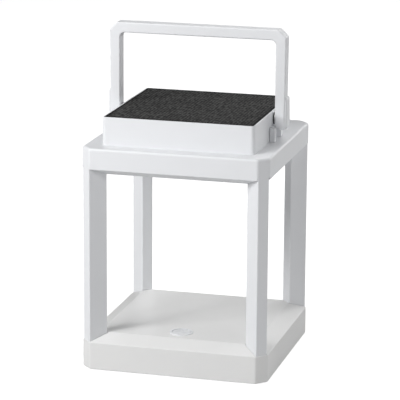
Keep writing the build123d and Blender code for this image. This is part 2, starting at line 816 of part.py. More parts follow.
def make_cells():
    field = panel_width - 2 * cell_margin
    cell_x = (field - (cell_columns - 1) * cell_gap) / cell_columns
    cell_y_size = (field - (cell_rows - 1) * cell_gap) / cell_rows
    cells = []
    for i in range(cell_columns):
        for j in range(cell_rows):
            x = -field / 2 + cell_x / 2 + i * (cell_x + cell_gap)
            y = -field / 2 + cell_y_size / 2 + j * (cell_y_size + cell_gap)
            cell = Box(cell_x, cell_y_size, cell_thickness)
            cells.append(Pos(x, y, panel_board_high + cell_thickness / 2) * cell)
    return cells


def make_panel_cover():
    """Clear cover cast over the cells, flush with the module's rim."""
    cover = prism(RectangleRounded(panel_width, panel_width, panel_round), panel_board_high, module_top)
    for cell in make_cells():
        cover = cover - cell
    return cover


def make_module_screws():
    return [screw_up(x, y, cap_under, deck + screw_grip) for x, y in module_screw_points()]


# ================================================================ handle
def handle_profile():
    """Outline of the handle in the XZ plane, drawn as an inverted U."""
    top, foot = handle_top, foot_end
    outer = [(leg_out_foot, foot), (leg_out_top, top - handle_chamfer), (leg_out_top - handle_chamfer, top)]
    inner = [(leg_gap, foot), (leg_gap, top - bar_height)]
    right = outer + [(-x, z) for x, z in reversed(outer)]
    left = [(-x, z) for x, z in inner] + list(reversed(inner))
    return right + left


def make_handle():
    face = Plane.XZ * make_face(Polyline(*handle_profile(), close=True))
    bar = extrude(face, amount=handle_depth / 2, both=True)
    uprights = bar.edges().filter_by(Axis.Y)
    inner = [e for e in uprights if abs(e.center().Z - (handle_top - bar_height)) < 0.01]
    bar = fillet(inner, radius=handle_inner_round)
    uprights = bar.edges().filter_by(Axis.Y)
    outer = [e for e in uprights if abs(e.center().Z - (handle_top - handle_chamfer)) < 0.01
             or abs(e.center().Z - handle_top) < 0.01]
    bar = fillet(outer, radius=handle_outer_round)
    feet = [e for e in bar.edges().filter_by(Axis.Y) if abs(e.center().Z - foot_end) < 0.01]
    bar = fillet(feet, radius=handle_foot_round)
    faces = [f for f in bar.faces() if abs(abs(f.normal_at().Y) - 1) < 0.001]
    rims = [e for f in faces for e in f.edges()]
    bar = fillet(rims, radius=handle_soft)
    for side in (1, -1):
        low, high = sorted((side * (leg_gap - beyond), side * (leg_out_foot + beyond)))
        bar = bar - rod_x(shoulder_d / 2 + bushing_wall, low, high, 0, pivot_z)
        low, high = sorted((side * head_seat, side * (leg_out_foot + beyond)))
        bar = bar - rod_x(pivot_head_d / 2 + hole_gap, low, high, 0, pivot_z)
    return bar


def make_bushing():
    outer = rod_x(shoulder_d / 2 + bushing_wall, leg_gap, head_seat, 0, pivot_z)
    return outer - rod_x(shoulder_d / 2 + pivot_gap, leg_gap - beyond, head_seat + beyond, 0, pivot_z)


def make_pivot_screw():
    head_low = head_seat + pivot_gap
    head_high = head_low + pivot_head_height
    shank = rod_x(shoulder_d / 2, hinge_pad_face, head_low, 0, pivot_z)
    thread = rod_x(tie_d / 2, pivot_bore_end + hole_spare, hinge_pad_face + bite, 0, pivot_z)
    head = rod_x(pivot_head_d / 2, head_low, head_high, 0, pivot_z)
    slot = Pos(head_high, 0, pivot_z) * Box(pivot_head_height, drive_width, pivot_head_d * drive_share)
    return shank + thread + head - slot


def make_pivot_insert():
    low, high = pivot_bore_end, pivot_bore_end + pivot_insert_length
    sleeve = rod_x(insert_d / 2, low, high, 0, pivot_z)
    return sleeve - rod_x(tie_d / 2 + pilot_gap, low - beyond, high + beyond, 0, pivot_z)


def washer(diameter, low, high):
    bore = shoulder_d / 2 + pivot_gap
    ring = rod_x(diameter / 2, low, high, 0, pivot_z)
    return ring - rod_x(bore, low - beyond, high + beyond, 0, pivot_z)


def make_washers():
    """Friction washer on the module's pad and cup washer between it and the leg."""
    between = leg_gap - pivot_gap - cup_washer
    friction = washer(washer_d, hinge_pad_face, between)
    return friction, washer(washer_d - 2 * hole_gap, between, leg_gap - pivot_gap)


def make_pivot_cover():
    """Oblong cover clipped over the pivot screw's head on the outside of a leg."""
    lean = (leg_width_top - leg_width_foot) / (handle_top - handle_chamfer - foot_end)
    mid = foot_end + cover_length / 2
    thickness = cover_proud + cover_clip
    pad = Box(thickness, cover_width, cover_length - bite)
    pad = fillet(pad.edges().filter_by(Axis.X), radius=cover_round)
    face = pad.faces().sort_by(Axis.X)[-1]
    pad = chamfer(face.edges(), length=cover_bevel)
    pad = Pos(leg_out_foot + cover_proud - thickness / 2, 0, mid) * pad
    leg_side = block((0, leg_out_foot), (-cover_width, cover_width), (foot_end - cover_length, handle_top))
    turn = Pos(leg_out_foot, 0, foot_end) * Rot(0, degrees(atan(lean)), 0) * Pos(-leg_out_foot, 0, -foot_end)
    pad = pad - turn * leg_side
    plug_end = head_seat + pivot_gap + pivot_head_height + seat_gap
    plug = rod_x(pivot_head_d / 2 + hole_gap - pivot_gap, plug_end, leg_out_foot + bite, 0, pivot_z)
    return pad + plug


# ================================================================ cables
def cable(points, radii):
    """Round cable along straight runs joined by tangent arcs."""
    path = FilletPolyline(*points, radius=radii)
    section = Plane(path @ 0, z_dir=path % 0) * Circle(cable_d / 2)
    return sweep(section, path=path)


def post_cable_place(tangent):
    """X and Y of a cable inside the rear left post."""
    radial = post_centre - cable_back
    angle = radians(135)
    return radial * cos(angle) - tangent * sin(angle), radial * sin(angle) + tangent * cos(angle)


def socket_mouth(socket):
    """Middle of a connector's outer face."""
    x, y, z = connector_box(*socket)
    outer = x[0] if socket[0] < 0 else x[1]
    return outer, (y[0] + y[1]) / 2, (z[0] + z[1]) / 2


def make_lamp_cable():
    """From the control board up the rear left post to the LED board."""
    x, y, z = socket_mouth(lamp_socket)
    post_x, post_y = post_cable_place(cable_tangent)
    lamp_x, lamp_y, lamp_z = led_connector_box()
    end = (lamp_x[0], sum(lamp_y) / 2, sum(lamp_z) / 2)
    side = post_x + 4.5
    points = [(x, y, z), (x - 12.5, y, z), (side - 1.0, y + 18, cable_low + 0.2), (side, 6, cable_low),
              (post_x + 3.5, post_y - 18, cable_low), (post_x, post_y, cable_low), (post_x, post_y, end[2]),
              (post_x + 4, post_y - 14, end[2]), (end[0] - 8, end[1], end[2]), end]
    return cable(points, [5, 9, 60, 60, 6, 6, 12, 3])


def make_panel_cable():
    """From the control board up the same post and through the cap to the solar panel."""
    x, y, z = socket_mouth(panel_socket)
    post_x, post_y = post_cable_place(-cable_tangent)
    high = cap_under - 3.5
    side = post_x + 7.0
    points = [(x, y, z), (x - 9.5, y, z), (side + 1.0, y + 15, cable_low + 0.3), (side, 8, cable_low),
              (side - 0.5, post_y - 18, cable_low), (post_x, post_y, cable_low), (post_x, post_y, high),
              (panel_cable_x, panel_cable_y, high), (panel_cable_x, panel_cable_y, panel_board_low)]
    return cable(points, [4, 8, 60, 20, 6, 6, 3])


def make_battery_cable():
    """From the battery holder's right end to the control board."""
    x, y, z = socket_mouth(battery_socket)
    holder_x = cell_length / 2 + holder_room + holder_wall
    points = [(holder_x, cell_y[0], cable_low), (holder_x + 9, cell_y[0], cable_low),
              (holder_x + 9.5, -22, cable_low + 0.5), (x + 10, y, z), (x, y, z)]
    return cable(points, [6, 9, 4])


# ================================================================ build
def build():
    os.makedirs("parts", exist_ok=True)
    save(make_plinth_shell(), "plinth_shell")
    save(make_bottom_plate(), "bottom_plate")
    group(make_feet(), "rubber_feet")
    group(make_plate_screws(), "bottom_plate_screws")
    group(make_batteries(), "battery_cells")
    save(make_battery_holder(), "battery_holder")
    group(make_battery_contacts(), "battery_contacts")
    save(make_control_board(), "control_board")
    group(make_board_parts(), "control_board_parts")
    group(make_board_screws(), "control_board_screws")
    save(make_bezel(), "button_bezel")
    save(make_button(), "push_button")
    save(make_button_clip(), "button_clip")
    save(make_button_spring(), "button_spring")
    save(make_switch_body(), "switch_body")
    save(make_plunger(), "switch_plunger")
    post_names = ("post_rear_right", "post_rear_left", "post_front_left", "post_front_right")
    for name, post in zip(post_names, at_corners(make_post())):
        save(post, name)
    group(make_ties(), "tie_rods")
    group(make_inserts(), "tie_rod_inserts")
    save(make_cap_shell(), "cap_shell")
    save(make_cap_tray(), "cap_tray")
    group(make_tray_screws(), "cap_tray_screws")
    save(make_diffuser(), "diffuser")
    save(make_led_board(), "led_board")
    group(make_leds(), "leds")
    group(make_led_screws(), "led_board_screws")
    save(block(*led_connector_box()), "led_connector")
    save(make_module_housing(), "module_housing")
    group(make_module_screws(), "module_screws")
    save(make_panel_tape(), "panel_tape")
    save(make_panel_board(), "panel_board")
    group(make_cells(), "solar_cells")
    save(make_panel_cover(), "panel_cover")
    save(make_handle(), "handle")
    sides = {"right": lambda piece: piece, "left": mirrored}
    friction, cup = make_washers()
    for side, place in sides.items():
        save(place(make_bushing()), "pivot_bushing_" + side)
        save(place(make_pivot_screw()), "pivot_screw_" + side)
        save(place(make_pivot_insert()), "pivot_insert_" + side)
        save(place(friction), "friction_washer_" + side)
        save(place(cup), "cup_washer_" + side)
        save(place(make_pivot_cover()), "pivot_cover_" + side)
    save(make_lamp_cable(), "lamp_cable")
    save(make_panel_cable(), "panel_cable")
    save(make_battery_cable(), "battery_cable")


build()
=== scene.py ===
"""Looks of a solar insect lantern, built around its CAD frame.

The frame gives every place and size, in metres, +Z up and the front towards -Y.  Each
sub-assembly of the lantern is a class that dresses its CAD pieces and models the pieces
that need finer shapes than the CAD holds.
"""

from __future__ import annotations

import logging
import math
from dataclasses import dataclass, field
from enum import Enum
from functools import cached_property
from typing import Callable, ClassVar

import bmesh
import bpy
from mathutils import Matrix, Vector


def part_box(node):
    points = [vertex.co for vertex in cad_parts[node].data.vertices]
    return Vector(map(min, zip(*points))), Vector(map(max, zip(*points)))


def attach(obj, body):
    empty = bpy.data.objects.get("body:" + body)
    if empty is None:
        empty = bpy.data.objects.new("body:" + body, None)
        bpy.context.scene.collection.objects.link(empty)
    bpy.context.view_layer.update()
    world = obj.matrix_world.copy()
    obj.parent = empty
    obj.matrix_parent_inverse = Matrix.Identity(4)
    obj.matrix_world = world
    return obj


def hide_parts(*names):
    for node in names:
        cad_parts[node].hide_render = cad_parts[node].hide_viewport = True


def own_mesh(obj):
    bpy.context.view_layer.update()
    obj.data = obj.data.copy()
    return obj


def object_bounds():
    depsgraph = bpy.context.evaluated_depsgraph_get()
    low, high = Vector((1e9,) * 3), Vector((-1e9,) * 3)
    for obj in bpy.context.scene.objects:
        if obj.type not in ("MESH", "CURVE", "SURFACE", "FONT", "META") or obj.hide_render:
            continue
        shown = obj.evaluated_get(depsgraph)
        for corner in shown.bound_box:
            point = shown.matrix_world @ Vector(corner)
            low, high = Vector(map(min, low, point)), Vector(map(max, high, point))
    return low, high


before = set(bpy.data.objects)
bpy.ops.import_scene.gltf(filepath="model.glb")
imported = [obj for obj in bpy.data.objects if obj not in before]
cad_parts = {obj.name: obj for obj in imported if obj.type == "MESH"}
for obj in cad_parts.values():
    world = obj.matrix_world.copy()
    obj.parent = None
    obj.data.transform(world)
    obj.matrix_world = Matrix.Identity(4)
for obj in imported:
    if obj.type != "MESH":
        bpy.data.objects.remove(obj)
cad_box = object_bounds()

log = logging.getLogger("lantern")

MM = 0.001
SAME_PLACE = 1e-6
SAME_WAY = 0.99
Triple = tuple[float, float, float]
Pair = tuple[float, float]
Socket = bpy.types.NodeSocket
Pick = Callable[[bmesh.types.BMFace | bmesh.types.BMEdge], bool]


class Slot(Enum):
    """The record's material slots, named with each modelled piece."""

    RUBBER = "foot_rubber"
    STEEL = "plated_steel"
    BEARING = "bearing_plastic"
    WRAP = "battery_wrap"
    BLACK = "black_plastic"
    LENS = "led_lens"


class Side(Enum):
    """The lantern's two sides, with the sign of X."""

    RIGHT = 1
    LEFT = -1


class Axis(Enum):
    """Direction of a bar or a grain."""

    X = (1.0, 0.0, 0.0)
    Y = (0.0, 1.0, 0.0)
    Z = (0.0, 0.0, 1.0)


# ---------------------------------------------------------------- materials
@dataclass(frozen=True)
class Noise:
    """A noise pattern in an object's own space.

    Attributes:
        size: Size of one blotch or grain, in metres.
        detail: Octaves of finer noise.
        along: Direction in which it is drawn out, or None.
        share: How much slower it runs that way.
    """

    size: float
    detail: float = 2.0
    along: Axis | None = None
    share: float = 1.0


class NodeSheet:
    """A material's node tree with short calls to add and join nodes."""

    def __init__(self, name: str) -> None:
        """Starts an empty material with a shader and an output.

        Args:
            name: The material's name.
        """
        self.material = bpy.data.materials.new(name)
        self.material.use_nodes = True
        self.tree = self.material.node_tree
        self.tree.nodes.clear()
        self.shader = self.add("ShaderNodeBsdfPrincipled")
        self.output = self.add("ShaderNodeOutputMaterial")
        self.link(self.shader.outputs["BSDF"], self.output.inputs["Surface"])
        self.place = self.add("ShaderNodeTexCoord").outputs["Object"]

    def add(self, kind: str, **settings: object) -> bpy.types.Node:
        """Adds a node and sets its properties.

        Args:
            kind: The node's type name.
            **settings: Properties of the node, by name.

        Returns:
            The new node.
        """
        node = self.tree.nodes.new(kind)
        for name, value in settings.items():
            setattr(node, name, value)
        return node

    def link(self, start: Socket, end: Socket) -> None:
        """Joins an output socket to an input socket."""
        self.tree.links.new(start, end)

    def texture(self, kind: str, scale: float, place: Socket, **settings: object) -> bpy.types.Node:
        """Adds a texture node.

        Args:
            kind: The node's type name.
            scale: Repeats in a metre.
            place: The coordinates that it follows.
            **settings: Properties of the node, by name.

        Returns:
            The new node.
        """
        node = self.add(kind, **settings)
        node.inputs["Scale"].default_value = scale
        self.link(place, node.inputs["Vector"])
        return node

    def noise(self, noise: Noise) -> Socket:
        """Adds a noise pattern.

        Args:
            noise: Its size and detail, and how it is drawn out.

        Returns:
            The pattern's value socket, from 0 to 1.
        """
        place = self.place
        if noise.along:
            mapping = self.add("ShaderNodeMapping")
            scale = [noise.share if part else 1.0 for part in noise.along.value]
            mapping.inputs["Scale"].default_value = scale
            self.link(place, mapping.inputs["Vector"])
            place = mapping.outputs["Vector"]
        node = self.texture("ShaderNodeTexNoise", 1.0 / noise.size, place)
        node.inputs["Detail"].default_value = noise.detail
        return node.outputs["Fac"]

    def cells(self, size: float) -> Socket:
        """Adds a pattern of cells of one size, whose value is the distance from their middles."""
        return self.texture("ShaderNodeTexVoronoi", 1.0 / size, self.place).outputs["Distance"]

    def lines(self, pitch: float, across: Axis, waver: float = 0.0) -> Socket:
        """Adds even parallel lines.

        Args:
            pitch: Distance between two lines, in metres.
            across: Direction in which the lines follow each other.
            waver: How far noise bends the lines.

        Returns:
            The pattern's value socket, from 0 between the lines to 1 on them.
        """
        node = self.texture("ShaderNodeTexWave", math.pi / (10.0 * pitch), self.place,
                            wave_type="BANDS", bands_direction=across.name)
        node.inputs["Distortion"].default_value = waver
        node.inputs["Detail Scale"].default_value = 3.0
        return node.outputs["Fac"]

    def off_middle(self, axis: Axis) -> Socket:
        """Distance from the object's middle plane across an axis.

        Args:
            axis: The axis.

        Returns:
            The distance, in metres.
        """
        node = self.add("ShaderNodeSeparateXYZ")
        self.link(self.place, node.inputs["Vector"])
        return self.work_out("ABSOLUTE", node.outputs[axis.name])

    def work_out(self, operation: str, first: Socket, second: Socket | float = 0.0) -> Socket:
        """Adds a maths node.

        Args:
            operation: Blender's name of the operation.
            first: First value.
            second: Second value, a socket or a number.

        Returns:
            The result.
        """
        node = self.add("ShaderNodeMath", operation=operation)
        self.link(first, node.inputs[0])
        if isinstance(second, float):
            node.inputs[1].default_value = second
        else:
            self.link(second, node.inputs[1])
        return node.outputs[0]

    def between(self, fac: Socket, low: Triple | Socket, high: Triple | Socket) -> Socket:
        """Mixes two colours by a pattern.

        Args:
            fac: The pattern, from 0 to 1.
            low: Colour where the pattern is 0.
            high: Colour where the pattern is 1.

        Returns:
            The mixed colour's socket.
        """
        node = self.add("ShaderNodeMix", data_type="RGBA")
        inputs = [s for s in node.inputs if s.type == "RGBA"]
        for value, socket in zip((low, high), inputs):
            if isinstance(value, tuple):
                socket.default_value = (*value, 1.0)
            else:
                self.link(value, socket)
        self.link(fac, node.inputs["Factor"])
        return next(s for s in node.outputs if s.type == "RGBA")

    def spread(self, value: Socket, low: float, high: float) -> Socket:
        """Maps a 0 to 1 pattern onto another range.

        Args:
            value: The pattern.
            low: Result where the pattern is 0.
            high: Result where the pattern is 1.

        Returns:
            The mapped value's socket.
        """
        node = self.add("ShaderNodeMapRange")
        node.inputs["To Min"].default_value = low
        node.inputs["To Max"].default_value = high
        self.link(value, node.inputs["Value"])
        return node.outputs["Result"]

    def coat(self, colour: Socket, gloss: Socket, height: Socket, relief: float,
             **values: object) -> bpy.types.Material:
        """Joins the patterns to the shader.

        Args:
            colour: Base colour.
            gloss: Roughness.
            height: Pattern of the relief, from 0 to 1.
            relief: Height of the relief where that pattern is 1, in metres.
            **values: Constants for the shader's other sockets, with _ for a space in their names.

        Returns:
            The material.
        """
        self.link(colour, self.shader.inputs["Base Color"])
        self.link(gloss, self.shader.inputs["Roughness"])
        bump = self.add("ShaderNodeBump")
        bump.inputs["Distance"].default_value = relief
        self.link(height, bump.inputs["Height"])
        self.link(bump.outputs["Normal"], self.shader.inputs["Normal"])
        fix(self.shader, **values)
        return self.material


def fix(shader: bpy.types.Node, **values: object) -> None:
    """Sets constants on a shader's own sockets, with _ for a space in their names."""
    for name, value in values.items():
        shader.inputs[name.replace("_", " ")].default_value = value


def darker(colour: Triple, share: float) -> Triple:
    """The same colour with a share of its light taken away."""
    return tuple(part * (1.0 - share) for part in colour)


@dataclass(frozen=True)
class Finish:
    """A finish whose colour follows one noise, and its gloss and relief another.

    Attributes:
        name: The material's name.
        low: Colour between the patches, linear.
        high: Colour on the patches.
        patches: Pattern of the colours.
        grain: Pattern of the gloss and the relief.
        gloss: Roughness in the grain's dips and on its tops.
        relief: Height of the grain, in metres.
        reach: Share of the high colour where the patches are weakest and strongest.
        extra: Constants for the shader's other sockets.
    """

    name: str
    low: Triple
    high: Triple
    patches: Noise
    grain: Noise
    gloss: Pair
    relief: float
    reach: Pair = (0.0, 1.0)
    extra: dict[str, float] = field(default_factory=dict)

    def build(self) -> bpy.types.Material:
        """Makes the material.

        Returns:
            The material.
        """
        sheet = NodeSheet(self.name)
        grain = sheet.noise(self.grain)
        patches = sheet.spread(sheet.noise(self.patches), *self.reach)
        return sheet.coat(sheet.between(patches, self.low, self.high), sheet.spread(grain, *self.gloss),
                          grain, self.relief, **self.extra)


@dataclass(frozen=True)
class FrostedPane(Finish):
    """Milky acrylic that spreads the lamps' light."""

    low: Triple = (0.817, 0.836, 0.836)
    high: Triple = (0.86, 0.88, 0.88)
    patches: Noise = Noise(12 * MM)
    grain: Noise = Noise(0.25 * MM, 4.0)
    gloss: Pair = (0.5, 0.75)
    relief: float = 0.012 * MM
    extra: dict[str, float] = field(default_factory=lambda: {"Transmission_Weight": 0.3, "IOR": 1.49})


@dataclass(frozen=True)
class SoftRubber(Finish):
    """Matt elastomer with faint dust in its pores."""

    low: Triple = (0.07, 0.07, 0.073)
    high: Triple = (0.14, 0.14, 0.135)
    patches: Noise = Noise(4 * MM, 5.0)
    grain: Noise = Noise(0.5 * MM, 4.0)
    gloss: Pair = (0.75, 0.95)
    relief: float = 0.03 * MM
    reach: Pair = (-0.5, 0.6)


@dataclass(frozen=True)
class TurnedMetal(Finish):
    """Plated or plain metal with fine tool marks and duller patches."""

    patches: Noise = Noise(2.5 * MM, 4.0)
    grain: Noise = Noise(0.12 * MM, 3.0, Axis.X, 0.08)
    gloss: Pair = (0.2, 0.45)
    relief: float = 0.004 * MM
    extra: dict[str, float] = field(default_factory=lambda: {"Metallic": 1.0})


@dataclass(frozen=True)
class ShrinkFilm(Finish):
    """Thin glossy sleeve shrunk round a battery cell, with lengthwise creases."""

    low: Triple = (0.022, 0.105, 0.34)
    high: Triple = (0.03, 0.14, 0.42)
    patches: Noise = Noise(1.2 * MM, 3.0, Axis.X, 0.15)
    grain: Noise = patches
    gloss: Pair = (0.18, 0.34)
    relief: float = 0.02 * MM


@dataclass(frozen=True)
class Phosphor(Finish):
    """Yellow silicone that fills a lamp's cup."""

    low: Triple = (0.68, 0.527, 0.119)
    high: Triple = (0.80, 0.62, 0.14)
    patches: Noise = Noise(0.15 * MM, 4.0)
    grain: Noise = patches
    gloss: Pair = (0.2, 0.35)
    relief: float = 0.005 * MM
    extra: dict[str, float] = field(default_factory=lambda: {"Subsurface_Weight": 0.2,
                                                             "Subsurface_Scale": 0.4 * MM})


@dataclass(frozen=True)
class CableJacket(Finish):
    """Soft vinyl jacket, slightly scuffed."""

    low: Triple = (0.022, 0.022, 0.024)
    high: Triple = (0.09, 0.09, 0.09)
    patches: Noise = Noise(3 * MM, 5.0)
    grain: Noise = Noise(0.3 * MM, 3.0)
    gloss: Pair = (0.38, 0.55)
    relief: float = 0.01 * MM
    reach: Pair = (-0.6, 0.5)


@dataclass(frozen=True)
class MouldedPlastic:
    """Injection-moulded plastic with a fine grain and slightly uneven gloss.

    Attributes:
        shade: How much darker the darkest blotches are, as a share.
        blotches: Pattern of the colour.
        rub: Where handling has evened the grain's gloss.
    """

    name: str
    colour: Triple
    shade: float = 0.03
    gloss: Pair = (0.34, 0.56)
    blotches: Noise = Noise(22 * MM, 3.0)
    grain: Noise = Noise(0.35 * MM)
    rub: Noise = Noise(5 * MM, 4.0)
    relief: float = 0.006 * MM
    refraction: float = 1.49

    def build(self) -> bpy.types.Material:
        """Makes the material.

        Returns:
            The material.
        """
        sheet = NodeSheet(self.name)
        grain = sheet.noise(self.grain)
        colour = sheet.between(sheet.noise(self.blotches), darker(self.colour, self.shade), self.colour)
        uneven = sheet.work_out("MULTIPLY", grain, sheet.noise(self.rub))
        return sheet.coat(colour, sheet.spread(uneven, *self.gloss), grain, self.relief,
                          IOR=self.refraction)


@dataclass(frozen=True)
class PanelLaminate:
    """Matt woven laminate over the solar cells, with a black line along its edge.

    Attributes:
        low: Colour in the weave's dips, linear.
        high: Colour on its threads.
        border: Colour of the edge line.
        warp: Pitch of the threads that follow each other along X, in metres.
        weft: Pitch of the threads that follow each other along Y, in metres.
        shares: How much the warp and the weft show.
        waver: How far the threads stray.
        contrast: What the speckle takes away and adds.
        sheen: Strength of the mirror-like part.
    """

    name: str
    low: Triple = (0.002, 0.002, 0.002)
    high: Triple = (0.072, 0.072, 0.0705)
    border: Triple = (0.004, 0.004, 0.004)
    border_width: float = 2.2 * MM
    warp: float = 2.5 * MM
    weft: float = 4.2 * MM
    shares: Pair = (0.5, 0.3)
    waver: float = 0.3
    speckle: Noise = Noise(1.75 * MM, 1.0, Axis.Y, 0.5)
    contrast: Pair = (-1.45, 1.5)
    gloss: Pair = (0.6, 0.8)
    relief: float = 0.03 * MM
    sheen: float = 0.08

    def build(self) -> bpy.types.Material:
        """Makes the material for the panel's own size.

        Returns:
            The material.
        """
        sheet = NodeSheet(self.name)
        threads = [sheet.work_out("MULTIPLY", sheet.lines(pitch, across, self.waver), share)
                   for pitch, across, share in zip((self.warp, self.weft), (Axis.X, Axis.Y), self.shares)]
        speckle = sheet.noise(self.speckle)
        grain = sheet.work_out("ADD", sheet.work_out("ADD", *threads),
                               sheet.spread(speckle, *self.contrast))
        reach = sheet.work_out("MAXIMUM", sheet.off_middle(Axis.X), sheet.off_middle(Axis.Y))
        edge = sheet.work_out("GREATER_THAN", reach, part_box("panel_cover")[1].x - self.border_width)
        colour = sheet.between(edge, sheet.between(grain, self.low, self.high), self.border)
        return sheet.coat(colour, sheet.spread(speckle, *self.gloss), grain, self.relief,
                          Specular_IOR_Level=self.sheen)


@dataclass(frozen=True)
class PrintedBoard:
    """Glass-fibre board under solder mask, with tracks showing through.

    Attributes:
        mask: Colour of the mask over bare board.
        track: Colour of the mask over copper.
        cross: That of the tracks along X, as a share of it.
        waver: How far the tracks stray.
        gap: Share of the board left bare.
        shade: How much darker its dips are, as a share.
    """

    name: str
    mask: Triple
    track: Triple
    pitch: float = 1.8 * MM
    cross: float = 1.7
    waver: float = 2.5
    gap: float = 0.86
    glass: Noise = Noise(0.4 * MM, 3.0)
    shade: float = 0.18
    gloss: Pair = (0.28, 0.44)
    relief: float = 0.03 * MM

    def build(self) -> bpy.types.Material:
        """Makes the material.

        Returns:
            The material.
        """
        sheet = NodeSheet(self.name)
        tracks = sheet.work_out("MAXIMUM", sheet.lines(self.pitch, Axis.X, self.waver),
                                sheet.lines(self.pitch * self.cross, Axis.Y, self.waver))
        copper = sheet.work_out("GREATER_THAN", tracks, self.gap)
        glass = sheet.noise(self.glass)
        bare = sheet.between(glass, darker(self.mask, self.shade), self.mask)
        return sheet.coat(sheet.between(copper, bare, self.track), sheet.spread(glass, *self.gloss),
                          copper, self.relief)


@dataclass(frozen=True)
class FoamTape:
    """Closed-cell foam tape.

    Attributes:
        shade: How much darker their middles are, as a share.
        bubble: Size of a bubble, in metres.
    """

    name: str
    colour: Triple = (0.05, 0.05, 0.05)
    shade: float = 0.4
    bubble: float = 0.5 * MM
    gloss: Pair = (0.8, 0.95)
    relief: float = 0.06 * MM

    def build(self) -> bpy.types.Material:
        """Makes the material.

        Returns:
            The material.
        """
        sheet = NodeSheet(self.name)
        height = sheet.cells(self.bubble)
        return sheet.coat(sheet.between(height, darker(self.colour, self.shade), self.colour),
                          sheet.spread(height, *self.gloss), height, self.relief)


@dataclass(frozen=True)
class SiliconCell:
    """Dark blue silicon with silver fingers and busbars.

    Attributes:
        crystal: Colour of its lighter crystals.
        finger: Pitch of the thin lines, in metres, and the share of it left bare.
        busbar: The same for the wide lines.
        gloss: Roughness of the silicon and of the silver.
    """

    name: str
    silicon: Triple = (0.008, 0.012, 0.045)
    crystal: Triple = (0.016, 0.026, 0.085)
    silver: Triple = (0.55, 0.55, 0.56)
    grain: float = 6 * MM
    finger: Pair = (1.6 * MM, 0.985)
    busbar: Pair = (12.0 * MM, 0.98)
    gloss: Pair = (0.22, 0.45)
    relief: float = 0.02 * MM

    def build(self) -> bpy.types.Material:
        """Makes the material.

        Returns:
            The material.
        """
        sheet = NodeSheet(self.name)
        crystals = sheet.between(sheet.cells(self.grain), self.silicon, self.crystal)
        lines = [sheet.work_out("GREATER_THAN", sheet.lines(pitch, across), bare)
                 for (pitch, bare), across in ((self.finger, Axis.X), (self.busbar, Axis.Y))]
        silver = sheet.work_out("MAXIMUM", *lines)
        return sheet.coat(sheet.between(silver, crystals, self.silver),
                          sheet.spread(silver, *self.gloss), silver, self.relief)


class Look(Enum):
    """The lantern's finishes."""

    WHITE = MouldedPlastic("white_housing_plastic", (0.80, 0.81, 0.83))
    PLINTH = MouldedPlastic("white_plinth_plastic", (0.80, 0.80, 0.795))
    BUTTON = MouldedPlastic("button_plastic", (0.79, 0.80, 0.82), gloss=(0.28, 0.50))
    BLACK = MouldedPlastic("black_plastic", (0.018, 0.018, 0.02), shade=0.2)
    NYLON = MouldedPlastic("natural_nylon", (0.66, 0.63, 0.55), gloss=(0.28, 0.50))
    ACETAL = MouldedPlastic("bearing_acetal", (0.62, 0.61, 0.57), gloss=(0.22, 0.44))
    RUBBER = SoftRubber("foot_rubber")
    PANEL = PanelLaminate("panel_laminate")
    PANE = FrostedPane("frosted_pane")
    STEEL = TurnedMetal("plated_steel", (0.48, 0.47, 0.46), (0.62, 0.62, 0.64))
    CAN = TurnedMetal("drawn_can", (0.58, 0.58, 0.58), (0.70, 0.70, 0.71), gloss=(0.14, 0.39))
    BRASS = TurnedMetal("turned_brass", (0.52, 0.36, 0.15), (0.72, 0.52, 0.22))
    COPPER = TurnedMetal("enamelled_copper", (0.38, 0.14, 0.05), (0.55, 0.22, 0.08),
                         grain=Noise(0.12 * MM, 3.0, Axis.Z, 0.08))
    FILM = ShrinkFilm("cell_sleeve_film")
    BOARD = PrintedBoard("green_board", (0.012, 0.10, 0.035), (0.03, 0.19, 0.07))
    WHITE_BOARD = PrintedBoard("white_board", (0.72, 0.73, 0.72), (0.80, 0.81, 0.79), 4 * MM)
    PHOSPHOR = Phosphor("lamp_phosphor")
    TAPE = FoamTape("foam_tape")
    SILICON = SiliconCell("silicon_cell")
    JACKET = CableJacket("cable_jacket")

    @cached_property
    def material(self) -> bpy.types.Material:
        """The finish's material, made on its first use."""
        return self.value.build()


# ---------------------------------------------------------------- workshop
def put_down() -> None:
    """Leaves edit mode and deselects everything."""
    if bpy.context.object and bpy.context.object.mode != "OBJECT":
        bpy.ops.object.mode_set(mode="OBJECT")
    bpy.ops.object.select_all(action="DESELECT")


